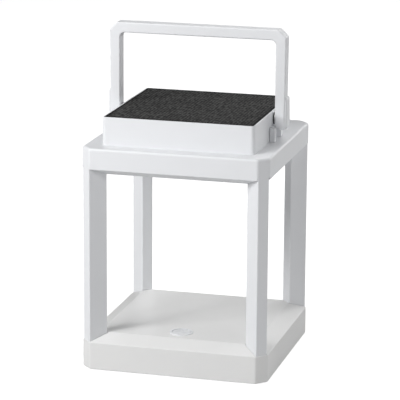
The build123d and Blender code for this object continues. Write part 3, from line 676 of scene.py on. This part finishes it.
class Workpiece:
    """One new mesh, shaped from stock with edit mode's tools and then finished."""

    def __init__(self, thing: bpy.types.Object, name: str) -> None:
        """Takes the stock in hand, with its place and turn put into its mesh.

        Args:
            thing: The object just added.
            name: The piece's name.
        """
        self.thing = thing
        thing.name = thing.data.name = name
        self.settle()

    @classmethod
    def bar(cls, name: str, radius: float, low: Vector, high: Vector, sides: int = 48) -> Workpiece:
        """Starts a piece from round bar.

        Args:
            name: The piece's name.
            radius: The bar's radius.
            low: Middle of one end.
            high: Middle of the other end.
            sides: Flats round the bar.

        Returns:
            The piece.
        """
        put_down()
        axis = high - low
        bpy.ops.mesh.primitive_cylinder_add(vertices=sides, radius=radius, depth=axis.length,
                                            location=(low + high) / 2,
                                            rotation=axis.to_track_quat("Z", "Y").to_euler())
        return cls(bpy.context.object, name)

    @classmethod
    def slab(cls, name: str, low: Vector, high: Vector) -> Workpiece:
        """Starts a piece from a rectangular block.

        Args:
            name: The piece's name.
            low: The block's low corner.
            high: Its high corner.

        Returns:
            The piece.
        """
        put_down()
        bpy.ops.mesh.primitive_cube_add(size=1.0, location=(low + high) / 2, scale=high - low)
        return cls(bpy.context.object, name)

    @classmethod
    def coil(cls, name: str, wire: float, radius: float, start: Vector, axis: Axis, length: float,
             turns: float) -> Workpiece:
        """Makes a coil of round wire with closed ends.

        Args:
            name: The piece's name.
            wire: The wire's radius.
            radius: From the coil's middle line to the wire's middle.
            start: Where the coil's middle line begins.
            axis: Direction of the middle line, X or Z.
            length: Along it, between the middles of the wire's ends.
            turns: Number of turns.

        Returns:
            The coil.
        """
        put_down()
        wire_sides, turn_steps = 10, 20
        lift = (0.0, radius, 0.0) if axis is Axis.X else (radius, 0.0, 0.0)
        tilt = (0.0, 0.0, 0.0) if axis is Axis.X else (math.pi / 2, 0.0, 0.0)
        bpy.ops.mesh.primitive_circle_add(vertices=wire_sides, radius=wire, location=lift, rotation=tilt)
        piece = cls(bpy.context.object, name)
        piece.thing.location = start
        steps = int(turn_steps * turns)
        piece.modifier("SCREW", axis=axis.name, angle=turns * math.tau, screw_offset=length,
                       steps=steps, render_steps=steps, use_merge_vertices=True)
        piece.settle().edit()
        bpy.ops.mesh.select_all(action="SELECT")
        bpy.ops.mesh.fill_holes(sides=wire_sides + 2)
        return piece

    def pick_up(self) -> None:
        """Leaves edit mode and selects this piece alone."""
        put_down()
        self.thing.select_set(True)
        bpy.context.view_layer.objects.active = self.thing

    def settle(self) -> Workpiece:
        """Puts the object's place and turn into its mesh."""
        self.pick_up()
        bpy.ops.object.transform_apply(location=True, rotation=True, scale=True)
        return self

    def edit(self) -> bmesh.types.BMesh:
        """Enters edit mode on this piece alone.

        Returns:
            The mesh being edited.
        """
        if self.thing.mode != "EDIT":
            self.pick_up()
            bpy.ops.object.mode_set(mode="EDIT")
        return bmesh.from_edit_mesh(self.thing.data)

    def take(self, kind: str, pick: Pick) -> Workpiece:
        """Selects what a rule names, and only that.

        Args:
            kind: "FACE" or "EDGE".
            pick: The rule.

        Returns:
            The piece.
        """
        mesh = self.edit()
        bpy.ops.mesh.select_mode(type=kind)
        bpy.ops.mesh.select_all(action="DESELECT")
        parts = mesh.faces if kind == "FACE" else mesh.edges
        for part in parts:
            part.select_set(pick(part))
        bmesh.update_edit_mesh(self.thing.data)
        if not any(part.select for part in parts):
            raise ValueError(f"{self.thing.name}: no {kind} there")
        return self

    def take_level(self, low: float, high: float) -> Workpiece:
        """Selects the faces whose middles lie between two heights."""
        return self.take("FACE", lambda face: low < face.calc_center_median().z < high)

    def take_end(self, axis: Axis, way: int) -> Workpiece:
        """Selects the outermost flat face on one end.

        Args:
            axis: Direction of the end.
            way: 1 for the high end, -1 for the low end.

        Returns:
            The piece.
        """
        along = Vector(axis.value) * way
        level = max(face.calc_center_median().dot(along) for face in self.edit().faces)
        return self.take("FACE", lambda face: face.normal.dot(along) > SAME_WAY
                         and face.calc_center_median().dot(along) > level - SAME_PLACE)

    def inset(self, *steps: Pair) -> Workpiece:
        """Draws the selected face in, step by step.

        Args:
            *steps: The width of each step, and how far it lifts the face, or sinks it if negative.

        Returns:
            The piece.
        """
        for width, rise in steps:
            bpy.ops.mesh.inset(thickness=width, depth=rise)
        return self

    def pull(self, *move: float) -> Workpiece:
        """Extrudes the selection by a move along X, Y and Z."""
        bpy.ops.mesh.extrude_region_move(TRANSFORM_OT_translate={"value": move})
        return self

    def widen(self, share: float, about: Vector) -> Workpiece:
        """Scales the selection across X and Y about a point."""
        bpy.ops.transform.resize(value=(share, share, 1.0), center_override=about)
        return self

    def round_off(self, width: float, segments: int = 3) -> Workpiece:
        """Bevels the selected edges."""
        bpy.ops.mesh.bevel(offset=width, segments=segments, affect="EDGES")
        return self

    def round_sharp(self, width: float, segments: int = 2, angle: float = 50.0) -> Workpiece:
        """Bevels every edge sharper than an angle.

        Args:
            width: Width of the bevel.
            segments: Strips in the bevel.
            angle: The angle, in degrees.

        Returns:
            The piece.
        """
        limit = math.radians(angle)
        self.take("EDGE", lambda edge: edge.is_manifold and edge.calc_face_angle(0.0) > limit)
        return self.round_off(width, segments)

    def stain(self, look: Look) -> Workpiece:
        """Gives the selected faces a second finish.

        Args:
            look: The finish.

        Returns:
            The piece.
        """
        slots = self.thing.data.materials
        if not slots:
            slots.append(None)
        slots.append(look.material)
        self.thing.active_material_index = len(slots) - 1
        bpy.ops.object.material_slot_assign()
        return self

    def modifier(self, kind: str, **settings: object) -> Workpiece:
        """Adds a modifier and applies it.

        Args:
            kind: Blender's name of the modifier.
            **settings: Its settings, by name.

        Returns:
            The piece.
        """
        self.pick_up()
        added = self.thing.modifiers.new(kind.lower(), kind)
        for name, value in settings.items():
            setattr(added, name, value)
        bpy.ops.object.modifier_apply(modifier=added.name)
        return self

    def twin(self, name: str, move: Triple, turn: float = 0.0) -> Workpiece:
        """Copies the piece.

        Args:
            name: The copy's name.
            move: How far the copy stands from the piece, after its turn.
            turn: Turn about the world's Z, in degrees.

        Returns:
            The copy, with its own mesh.
        """
        self.pick_up()
        bpy.ops.object.duplicate(linked=False)
        copy = bpy.context.object
        copy.rotation_euler = (0.0, 0.0, math.radians(turn))
        copy.location = move
        return Workpiece(copy, name)

    def take_in(self, other: Workpiece) -> Workpiece:
        """Joins another piece into this one.

        Args:
            other: The piece that is used up.

        Returns:
            The piece.
        """
        self.pick_up()
        other.thing.select_set(True)
        bpy.ops.object.join()
        return self

    def finish(self, look: Look, slot: Slot, node: str) -> None:
        """Closes the piece's making: normals, shading, finish and its place in the frame.

        Args:
            look: Its main finish.
            slot: The record's slot that the finish stands for; not used.
            node: The CAD piece that it replaces.
        """
        self.edit()
        bpy.ops.mesh.select_all(action="SELECT")
        bpy.ops.mesh.remove_doubles(threshold=SAME_PLACE)
        bpy.ops.mesh.normals_make_consistent(inside=False)
        self.pick_up()
        bpy.ops.object.shade_smooth_by_angle(angle=math.radians(35.0))
        slots = self.thing.data.materials
        if slots:
            slots[0] = look.material
        else:
            slots.append(look.material)
        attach(self.thing, "lantern")
        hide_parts(node)
        log.info("%s: modelled for %s, %d faces", self.thing.name, node, len(self.thing.data.polygons))


# ---------------------------------------------------------------- sub-assemblies
class Assembly:
    """A sub-assembly: CAD pieces to dress and finer pieces to model.

    Attributes:
        coats: The CAD pieces that wear each finish.
    """

    coats: ClassVar[dict[Look, tuple[str, ...]]]

    def build(self) -> None:
        """Dresses the CAD pieces and models the finer ones."""
        for look, nodes in self.coats.items():
            for node in nodes:
                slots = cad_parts[node].data.materials
                slots.clear()
                slots.append(look.material)
                log.info("%s: dressed in %s", node, look.material.name)
        self.model()

    def model(self) -> None:
        """Models the finer pieces, where there are any."""


@dataclass
class Plinth(Assembly):
    """Square plinth with its plate, screws and feet.

    Attributes:
        foot_soft: Rounding of a foot's ground edge.
        ring_land: Width of the flat rings between the grooves of its sole.
        ring_slope: Width of the slope into each groove, and of the groove's bottom.
    """

    coats = {Look.PLINTH: ("plinth_shell", "bottom_plate"), Look.STEEL: ("bottom_plate_screws",)}

    foot_radius: float = 6.5 * MM
    foot_sides: int = 64
    foot_soft: float = 0.5 * MM
    rings: int = 2
    ring_land: float = 1.0 * MM
    ring_slope: float = 0.25 * MM
    ring_depth: float = 0.3 * MM

    def model(self) -> None:
        """Four rubber feet with ringed soles."""
        low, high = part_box("rubber_feet")
        across, deep = (side - 2 * self.foot_radius for side in (high - low).xy)
        middle = low + Vector((self.foot_radius, self.foot_radius, 0.0))
        first = Workpiece.bar("rubber_foot_front_left", self.foot_radius, middle,
                              middle + Vector((0.0, 0.0, high.z - low.z)), self.foot_sides)
        first.take_end(Axis.Z, -1).inset((self.foot_soft + self.ring_land, 0.0))
        for _ in range(self.rings):
            first.inset((self.ring_slope, -self.ring_depth), (self.ring_slope, 0.0),
                        (self.ring_slope, self.ring_depth), (self.ring_land, 0.0))
        first.take("EDGE", lambda edge: all(
            abs(vert.co.z - low.z) < SAME_PLACE
            and abs((vert.co - middle).xy.length - self.foot_radius) < 10 * SAME_PLACE
            for vert in edge.verts)).round_off(self.foot_soft)
        others = {"front_right": (across, 0.0, 0.0), "rear_left": (0.0, deep, 0.0),
                  "rear_right": (across, deep, 0.0)}
        feet = [first] + [first.twin(f"rubber_foot_{corner}", move) for corner, move in others.items()]
        for foot in feet:
            foot.finish(Look.RUBBER, Slot.RUBBER, "rubber_feet")


@dataclass
class PowerButton(Assembly):
    """Push button with its bezel, spring, clip and switch.

    Attributes:
        wire: Radius of the spring's wire.
        travel: How far the button goes down; not used.
    """

    coats = {Look.WHITE: ("button_bezel",), Look.BUTTON: ("push_button",), Look.STEEL: ("button_clip",),
             Look.BLACK: ("switch_body",), Look.ACETAL: ("switch_plunger",)}

    wire: float = 0.22 * MM
    turns: float = 3.0
    travel: float = 1.2 * MM

    def model(self) -> None:
        """A coil spring of steel wire, in the CAD spring's place."""
        low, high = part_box("button_spring")
        middle = (low + high) / 2
        height = high.z - low.z
        spring = Workpiece.coil("button_return_spring", self.wire, (high.x - low.x) / 2 - self.wire,
                                Vector((middle.x, middle.y, low.z + self.wire)), Axis.Z,
                                height - 2 * self.wire, self.turns)
        spring.finish(Look.STEEL, Slot.STEEL, "button_spring")
        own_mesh(spring.thing)


@dataclass
class BatteryPack(Assembly):
    """Two cells in their holder, with sprung contacts.

    Attributes:
        film: Thickness of a cell's sleeve.
        lip: How far the sleeve's lips reach over the ends.
        positive_end: Steps from the crimped rim in to the nub's foot.
        nub_steps: Steps up the nub and over its edge.
        negative_end: Steps of the dished other end.
        coils: Turns of a contact's spring.
    """

    coats = {Look.BLACK: ("battery_holder",)}

    film: float = 0.12 * MM
    lip: float = 1.3 * MM
    lip_soft: float = 0.5 * MM
    nub: float = 1.2 * MM
    positive_end: tuple[Pair, ...] = ((1.1 * MM, 0.0), (0.4 * MM, -0.5 * MM), (0.9 * MM, 0.0),
                                      (0.5 * MM, 0.5 * MM), (2.6 * MM, 0.0))
    nub_steps: tuple[Pair, ...] = ((0.5 * MM, 1.18 * MM), (0.4 * MM, 0.0))
    negative_end: tuple[Pair, ...] = ((1.6 * MM, 0.0), (0.3 * MM, -0.15 * MM))
    can_soft: float = 0.08 * MM
    wire: float = 0.3 * MM
    plate: float = 0.4 * MM
    plate_soft: float = 0.12 * MM
    coils: float = 2.0
    coil_radius: float = 2.1 * MM

    def __post_init__(self) -> None:
        """Reads the cells' places: the front cell's left end, the right ends, and the step between."""
        low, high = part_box("battery_cells")
        self.radius = (high.z - low.z) / 2
        self.near = low + Vector((0.0, self.radius, self.radius))
        self.right = high.x
        self.step = (high.y - low.y) - 2 * self.radius

    def model(self) -> None:
        """Makes the cells and contacts."""
        turn_about = (self.near.x + self.right, 2 * self.near.y + self.step, 0.0)
        can, sleeve = self.make_can(), self.make_sleeve()
        for piece in (can, can.twin("battery_can_rear", turn_about, 180.0)):
            piece.finish(Look.CAN, Slot.STEEL, "battery_cells")
        for piece in (sleeve, sleeve.twin("battery_sleeve_rear", turn_about, 180.0)):
            piece.finish(Look.FILM, Slot.WRAP, "battery_cells")
        self.make_contacts()

    def make_can(self) -> Workpiece:
        """A drawn can with a crimped rim and a positive nub.

        Returns:
            The front cell's can, nub to the right.
        """
        can = Workpiece.bar("battery_can_front", self.radius - self.film,
                            self.near + Vector((self.film, 0.0, 0.0)),
                            Vector((self.right - self.nub, *self.near.yz)))
        can.take_end(Axis.X, 1).inset(*self.positive_end, *self.nub_steps)
        can.take_end(Axis.X, -1).inset(*self.negative_end)
        return can.round_sharp(self.can_soft)

    def make_sleeve(self) -> Workpiece:
        """A film tube whose ends are shrunk over the can's rims.

        Returns:
            The front cell's sleeve.
        """
        sleeve = Workpiece.bar("battery_sleeve_front", self.radius, self.near,
                               Vector((self.right - self.nub + self.film, *self.near.yz)))
        for way in (1, -1):
            sleeve.take_end(Axis.X, way).inset((self.lip, 0.0))
            bpy.ops.mesh.delete(type="FACE")
        sleeve.round_sharp(self.lip_soft, segments=3)
        return sleeve.modifier("SOLIDIFY", thickness=self.film - 0.01 * MM, offset=-1.0)

    def make_contacts(self) -> None:
        """A sprung contact at each end of both cells."""
        start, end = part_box("battery_contacts")
        y, z = self.near.yz
        half = (end.y - start.y - self.step) / 2
        face = end.x - self.plate
        contact = Workpiece.slab("battery_contact_front_right", Vector((face, y - half, start.z)),
                                 Vector((end.x, y + half, end.z)))
        contact.round_sharp(self.plate_soft)
        length = face - self.right - 2 * self.wire
        contact.take_in(Workpiece.coil("contact_coil", self.wire, self.coil_radius,
                                       Vector((face - self.wire - length, y, z)), Axis.X, length,
                                       self.coils))
        moves = {"rear_right": (self.step, 0.0), "front_left": (2 * y, 180.0),
                 "rear_left": (2 * y + self.step, 180.0)}
        contacts = [contact] + [contact.twin(f"battery_contact_{corner}", (0.0, move, 0.0), turn)
                                for corner, (move, turn) in moves.items()]
        for piece in contacts:
            piece.finish(Look.STEEL, Slot.STEEL, "battery_contacts")


@dataclass(frozen=True)
class Spot:
    """Where a part stands on the control board, and its size.

    Attributes:
        x: A round part's middle or a square one's low end along X, from the board's middle.
        y: The same along Y.
        across: Its width.
        height: Its height.
    """

    x: float
    y: float
    across: float
    height: float


@dataclass
class ControlBoard(Assembly):
    """The control board and the parts soldered to it.

    Attributes:
        flange_reach: How far the coil's flanges stand out from the winding.
        crimp: Height of the capacitor's foot under its crimp, and width of the crimp.
        can_top: Steps of its rim and of the scored top.
        chip_lift: How far a chip's body stands off the board.
        chip_reach: How far its feet stand out from it.
        chip_top: Steps of the dimple in its top.
        foot_rise: Share of the reach over which a foot rises, share of the chip's height that it
            rises, and the length of its level end.
        mouth: Steps of the socket's opening.
        key: Steps of the recess in its top.
        sockets: Side of the board and place along Y of each socket.
        margin: From the board's edge to a socket's mouth.
    """

    coats = {Look.BOARD: ("control_board",), Look.STEEL: ("control_board_screws",)}

    coil: Spot = Spot(16.0 * MM, 12.0 * MM, 8.0 * MM, 4.2 * MM)
    flange: float = 0.8 * MM
    flange_reach: float = 0.6 * MM
    coil_soft: float = 0.12 * MM
    can: Spot = Spot(-14.0 * MM, -11.0 * MM, 6.2 * MM, 7.0 * MM)
    crimp: Pair = (0.9 * MM, 0.3 * MM)
    can_top: tuple[Pair, ...] = ((0.4 * MM, 0.0), (0.15 * MM, -0.1 * MM))
    can_soft: float = 0.15 * MM
    chips: dict[str, Spot] = field(default_factory=lambda: {
        "charge_chip": Spot(12.0 * MM, -6.0 * MM, 5.0 * MM, 1.4 * MM),
        "driver_chip": Spot(12.0 * MM, -16.0 * MM, 4.0 * MM, 1.2 * MM)})
    chip_lift: float = 0.15 * MM
    chip_reach: float = 0.6 * MM
    chip_top: tuple[Pair, ...] = ((0.25 * MM, 0.0), (0.1 * MM, -0.04 * MM))
    chip_soft: float = 0.08 * MM
    foot: Triple = (0.5 * MM, 0.3 * MM, 0.25 * MM)
    foot_rise: Triple = (0.4, 0.35, 0.2 * MM)
    foot_soft: float = 0.03 * MM
    feet: int = 4
    socket: Triple = (6.0 * MM, 7.0 * MM, 5.5 * MM)
    mouth: tuple[Pair, ...] = ((0.7 * MM, 0.0), (0.05 * MM, -3.5 * MM))
    key: tuple[Pair, ...] = ((1.4 * MM, 0.0), (0.1 * MM, -0.4 * MM))
    socket_soft: float = 0.15 * MM
    sockets: dict[str, tuple[Side, float]] = field(default_factory=lambda: {
        "lamp_socket": (Side.LEFT, 0.5 * MM), "panel_socket": (Side.LEFT, 9.0 * MM),
        "battery_socket": (Side.RIGHT, 9.0 * MM)})
    margin: float = 0.5 * MM

    def __post_init__(self) -> None:
        """Reads the middle and the half length of the board's upper face."""
        low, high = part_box("control_board")
        self.middle = Vector((*((low + high) / 2).xy, high.z))
        self.half = (high.x - low.x) / 2

    def model(self) -> None:
        """Makes the board's parts."""
        self.make_coil()
        self.make_can()
        for name, chip in self.chips.items():
            self.make_chip(name, chip)
        for name, (side, y) in self.sockets.items():
            self.make_socket(name, side, y)

    def place(self, spot: Spot) -> Vector:
        """Where a part stands."""
        return self.middle + Vector((spot.x, spot.y, 0.0))

    def make_coil(self) -> None:
        """A ferrite bobbin wound with copper wire."""
        foot, radius, height = self.place(self.coil), self.coil.across / 2, self.coil.height
        waist = height - 2 * self.flange
        coil = Workpiece.bar("charge_coil", radius, foot, foot + Vector((0.0, 0.0, self.flange)))
        coil.take_end(Axis.Z, 1).inset((self.flange_reach, 0.0)).pull(0.0, 0.0, waist)
        coil.inset((0.0, 0.0)).widen(radius / (radius - self.flange_reach), foot)
        coil.pull(0.0, 0.0, self.flange)
        middle = foot.z + height / 2
        coil.take_level(middle - waist / 10, middle + waist / 10).stain(Look.COPPER)
        coil.round_sharp(self.coil_soft)
        coil.finish(Look.BLACK, Slot.BLACK, "control_board_parts")

    def make_can(self) -> None:
        """A storage capacitor: an aluminium can with a crimp and a scored top."""
        foot, radius, height = self.place(self.can), self.can.across / 2, self.can.height
        below, width = self.crimp
        can = Workpiece.bar("storage_capacitor", radius, foot, foot + Vector((0.0, 0.0, below)))
        can.take_end(Axis.Z, 1).inset((width, width), (0.0, 0.0)).widen(radius / (radius - width), foot)
        can.pull(0.0, 0.0, height - below - width).inset(*self.can_top)
        can.take_level(foot.z + height - width, foot.z + 2 * height).stain(Look.CAN)
        can.round_sharp(self.can_soft)
        can.finish(Look.BLACK, Slot.BLACK, "control_board_parts")

    def make_chip(self, name: str, chip: Spot) -> None:
        """A black chip with a dimple in its top and feet on two sides.

        Args:
            name: The chip's name.
            chip: Its place and size.
        """
        pitch, corner = chip.across / self.feet, self.place(chip)
        low = corner + Vector((self.chip_reach, 0.0, self.chip_lift))
        high = corner + Vector((chip.across - self.chip_reach, chip.across, chip.height))
        body = Workpiece.slab(name, low, high)
        body.take_end(Axis.Z, 1).inset(*self.chip_top)
        body.round_sharp(self.chip_soft)
        start = corner + Vector((0.0, (pitch - self.foot[1]) / 2, 0.0))
        reach_share, rise_share, level_end = self.foot_rise
        feet = Workpiece.slab(f"{name}_feet", start, start + Vector(self.foot)).take_end(Axis.X, 1)
        feet.pull(self.chip_reach * reach_share, 0.0, chip.height * rise_share)
        feet.pull(level_end, 0.0, 0.0).round_sharp(self.foot_soft, segments=1)
        feet.modifier("ARRAY", count=self.feet, use_relative_offset=False, use_constant_offset=True,
                      constant_offset_displace=(0.0, pitch, 0.0))
        feet.take_in(feet.twin(f"{name}_far_feet", (*(low + high).xy, 0.0), 180.0))
        body.finish(Look.BLACK, Slot.BLACK, "control_board_parts")
        feet.finish(Look.STEEL, Slot.STEEL, "control_board_parts")

    def make_socket(self, name: str, side: Side, y: float) -> None:
        """A nylon cable socket, open towards the board's edge.

        Args:
            name: The socket's name.
            side: Side of the board.
            y: Its place along Y, from the board's middle.
        """
        length, width, _ = self.socket
        mouth = side.value * (self.half - self.margin)
        low = self.middle + Vector((min(mouth, mouth - side.value * length), y - width / 2, 0.0))
        box = Workpiece.slab(name, low, low + Vector(self.socket))
        box.take_end(Axis.X, side.value).inset(*self.mouth)
        box.take_end(Axis.Z, 1).inset(*self.key)
        box.round_sharp(self.socket_soft)
        box.finish(Look.NYLON, Slot.BEARING, "control_board_parts")


class PostFrame(Assembly):
    """Four hollow posts with the tie rods that clamp plinth and cap together."""

    coats = {Look.WHITE: ("post_front_left", "post_front_right", "post_rear_left", "post_rear_right"),
             Look.STEEL: ("tie_rods",), Look.BRASS: ("tie_rod_inserts",)}


@dataclass
class LampCap(Assembly):
    """Cap with its tray, frosted pane, lamp board and lamps.

    Attributes:
        rows: Lamps along each side of the board.
        lamp: Length and width of a lamp.
        cup: Steps of its cup, from the rim in.
        lamp_soft: Rounding of its edges.
    """

    coats = {Look.WHITE: ("cap_shell", "cap_tray"), Look.STEEL: ("cap_tray_screws", "led_board_screws"),
             Look.PANE: ("diffuser",), Look.WHITE_BOARD: ("led_board",), Look.NYLON: ("led_connector",)}

    rows: int = 4
    lamp: Pair = (3.5 * MM, 2.8 * MM)
    cup: tuple[Pair, ...] = ((0.45 * MM, 0.0), (0.12 * MM, -0.2 * MM))
    lamp_soft: float = 0.12 * MM

    def model(self) -> None:
        """White cups filled with yellow phosphor, facing down."""
        low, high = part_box("leds")
        size = Vector((*self.lamp, high.z - low.z))
        step = (high - low - size) / (self.rows - 1)
        first = Workpiece.slab("lamp_1_1", low, low + size)
        first.take_end(Axis.Z, -1).inset(*self.cup).stain(Look.PHOSPHOR)
        first.round_sharp(self.lamp_soft)
        places = [(column, row) for column in range(self.rows) for row in range(self.rows)]
        lamps = [first] + [first.twin(f"lamp_{column + 1}_{row + 1}", (step.x * column, step.y * row, 0.0))
                           for column, row in places[1:]]
        for lamp in lamps:
            lamp.finish(Look.NYLON, Slot.LENS, "leds")


class SolarModule(Assembly):
    """Solar module: its tub, tape, board, cells and cover."""

    coats = {Look.WHITE: ("module_housing",), Look.STEEL: ("module_screws",), Look.TAPE: ("panel_tape",),
             Look.BOARD: ("panel_board",), Look.SILICON: ("solar_cells",), Look.PANEL: ("panel_cover",)}


class CarryHandle(Assembly):
    """Folding handle and its two hinges."""

    coats = {Look.WHITE: ("handle", "pivot_cover_left", "pivot_cover_right"),
             Look.ACETAL: ("pivot_bushing_left", "pivot_bushing_right"),
             # The friction washers wear black plastic, and that black also stands in as painted shade: it
             # darkens the narrow hinge gap between the module's side and each leg, where shade falls.
             Look.BLACK: ("friction_washer_left", "friction_washer_right"),
             Look.STEEL: ("pivot_screw_left", "pivot_screw_right", "cup_washer_left", "cup_washer_right"),
             Look.BRASS: ("pivot_insert_left", "pivot_insert_right")}


class Wiring(Assembly):
    """The three cables inside."""

    coats = {Look.JACKET: ("lamp_cable", "panel_cable", "battery_cable")}


# ---------------------------------------------------------------- studio
def seen_from(azimuth: float, elevation: float) -> Vector:
    """Direction of a place round the lantern.

    Args:
        azimuth: Degrees from the front, positive to the right.
        elevation: Degrees above level.

    Returns:
        The direction, of length 1.
    """
    turn, climb = math.radians(azimuth), math.radians(elevation)
    return Vector((math.sin(turn) * math.cos(climb), -math.cos(turn) * math.cos(climb), math.sin(climb)))


@dataclass(frozen=True)
class Softbox:
    """A square light that faces the lantern.

    Attributes:
        name: The light's name.
        azimuth: Degrees from the front, positive to the right.
        elevation: Degrees above level.
        distance: From the lantern's middle, in metres.
        size: Side of the light, in metres.
        power: In watts.
    """

    name: str
    azimuth: float
    elevation: float
    distance: float
    size: float
    power: float

    def build(self, middle: Vector) -> None:
        """Sets up the light.

        Args:
            middle: The point that it faces.
        """
        away = seen_from(self.azimuth, self.elevation)
        bpy.ops.object.light_add(type="AREA", location=middle + away * self.distance)
        lamp = bpy.context.object
        lamp.name = self.name
        lamp.data.shape = "SQUARE"
        lamp.data.size = self.size
        lamp.data.energy = self.power
        lamp.rotation_euler = away.to_track_quat("Z", "Y").to_euler()
        log.info("%s: %.1f W", self.name, self.power)


@dataclass
class Studio:
    """Pale floor, soft lights and the camera.

    Attributes:
        lights_aim: The point that the lights face.
        camera_target: The point that the camera's place is set from.
        camera_roll: Turn about the line of sight, in degrees.
        aim_right: How far right of the target it looks.
        aim_down: How far below the target it looks.
        floor_grey: Shade of the floor that the lantern sees.
        paper_white: Shade of the floor that the camera sees.
        fibres: Pattern of both.
        fibre_shade: Share of the light left in the fibres' dips.
        backdrop: Brightness beyond the floor.
    """

    lights: tuple[Softbox, ...] = (
        Softbox("key_high", -30.0, 40.0, 1.6, 0.6, 10.7),
        Softbox("key_low", -45.0, 25.0, 1.0, 0.3, 4.7),
        Softbox("overhead", 0.0, 88.0, 1.6, 1.4, 4.0),
        Softbox("fill_front_right", 50.0, 20.0, 1.6, 0.8, 3.5),
        Softbox("fill_right", 80.0, 10.0, 1.6, 0.8, 4.0),
        Softbox("fill_rear_right", 150.0, 20.0, 1.6, 0.8, 8.4),
        Softbox("fill_rear", 180.0, 40.0, 1.6, 0.8, 6.7),
    )
    lights_aim: Triple = (0.0, 0.0, 120.0 * MM)
    camera_target: Triple = (-0.68 * MM, 0.0, 124.24 * MM)
    camera_azimuth: float = 15.194
    camera_elevation: float = 14.045
    camera_roll: float = 0.345
    camera_distance: float = 1.80326
    camera_lens: float = 206.39
    camera_film: float = 36.0
    camera_range: Pair = (0.05, 50.0)
    aim_right: float = 2.33 * MM
    aim_down: float = 1.21 * MM
    floor_half: float = 6.0
    floor_grey: float = 0.45
    floor_glow: float = 0.12
    paper_white: float = 0.32
    paper_glow: float = 0.92
    fibres: Noise = Noise(0.6)
    fibre_shade: float = 0.98
    backdrop: float = 1.1
    backdrop_tint: Triple = (0.98, 0.99, 1.0)

    def build(self) -> None:
        """Makes the floor, the backdrop, the lights and the camera."""
        bpy.context.scene.view_settings.view_transform = "Standard"
        self.make_floor()
        self.make_backdrop()
        for light in self.lights:
            light.build(Vector(self.lights_aim))
        self.make_camera()

    def make_floor(self) -> None:
        """A wide sheet under the feet: white paper to look at, grey paper to the lantern."""
        put_down()
        bpy.ops.mesh.primitive_plane_add(size=2 * self.floor_half, location=(0, 0, cad_box[0].z))
        floor = bpy.context.object
        floor.name = "studio_floor"
        sheet = NodeSheet("studio_floor_paper")
        fibres = sheet.noise(self.fibres)
        grey, paper = (sheet.between(fibres, (shade * self.fibre_shade,) * 3, (shade,) * 3)
                       for shade in (self.floor_grey, self.paper_white))
        sheet.link(grey, sheet.shader.inputs["Base Color"])
        fix(sheet.shader, Roughness=0.9, Emission_Color=(1, 1, 1, 1), Emission_Strength=self.floor_glow)
        seen = sheet.add("ShaderNodeBsdfPrincipled")
        sheet.link(paper, seen.inputs["Base Color"])
        fix(seen, Roughness=0.95, Specular_IOR_Level=0.0, Emission_Color=(1, 1, 1, 1),
            Emission_Strength=self.paper_glow)
        mix = sheet.add("ShaderNodeMixShader")
        sheet.link(sheet.add("ShaderNodeLightPath").outputs["Is Camera Ray"], mix.inputs["Fac"])
        sheet.link(sheet.shader.outputs["BSDF"], mix.inputs[1])
        sheet.link(seen.outputs["BSDF"], mix.inputs[2])
        sheet.link(mix.outputs["Shader"], sheet.output.inputs["Surface"])
        floor.data.materials.append(sheet.material)

    def make_backdrop(self) -> None:
        """White beyond the floor, which sheds no light on the lantern."""
        world = bpy.data.worlds.new("studio_world")
        world.use_nodes = True
        tree = world.node_tree
        background = tree.nodes["Background"]
        background.inputs["Color"].default_value = (*self.backdrop_tint, 1.0)
        ray = tree.nodes.new("ShaderNodeLightPath").outputs["Is Camera Ray"]
        share = tree.nodes.new("ShaderNodeMath")
        share.operation = "MULTIPLY"
        share.inputs[1].default_value = self.backdrop
        tree.links.new(ray, share.inputs[0])
        tree.links.new(share.outputs[0], background.inputs["Strength"])
        bpy.context.scene.world = world

    def make_camera(self) -> None:
        """A long lens looking slightly down on the front, from a little to the right."""
        target = Vector(self.camera_target)
        back = seen_from(self.camera_azimuth, self.camera_elevation)
        roll = Matrix.Rotation(math.radians(self.camera_roll), 3, back)
        right = roll @ seen_from(self.camera_azimuth + 90.0, 0.0)
        place = target + back * self.camera_distance
        up = back.cross(right)
        back = (place - target - right * self.aim_right + up * self.aim_down).normalized()
        right = up.cross(back).normalized()
        up = back.cross(right)
        bpy.ops.object.camera_add(location=place)
        camera = bpy.context.object
        camera.name = "studio_camera"
        camera.data.lens = self.camera_lens
        camera.data.sensor_width = self.camera_film
        camera.rotation_euler = Matrix((right, up, back)).transposed().to_euler()
        camera.data.clip_start, camera.data.clip_end = self.camera_range
        bpy.context.scene.camera = camera


def main() -> None:
    """Builds the lantern's looks, sub-assembly by sub-assembly, and then the studio."""
    put_down()
    for assembly in (Plinth, PowerButton, BatteryPack, ControlBoard, PostFrame, LampCap, SolarModule,
                     CarryHandle, Wiring):
        log.info("%s", assembly.__name__)
        assembly().build()
    Studio().build()


if __name__ == "__main__":
    logging.basicConfig(level=logging.INFO, format="%(name)s: %(message)s")
    main()
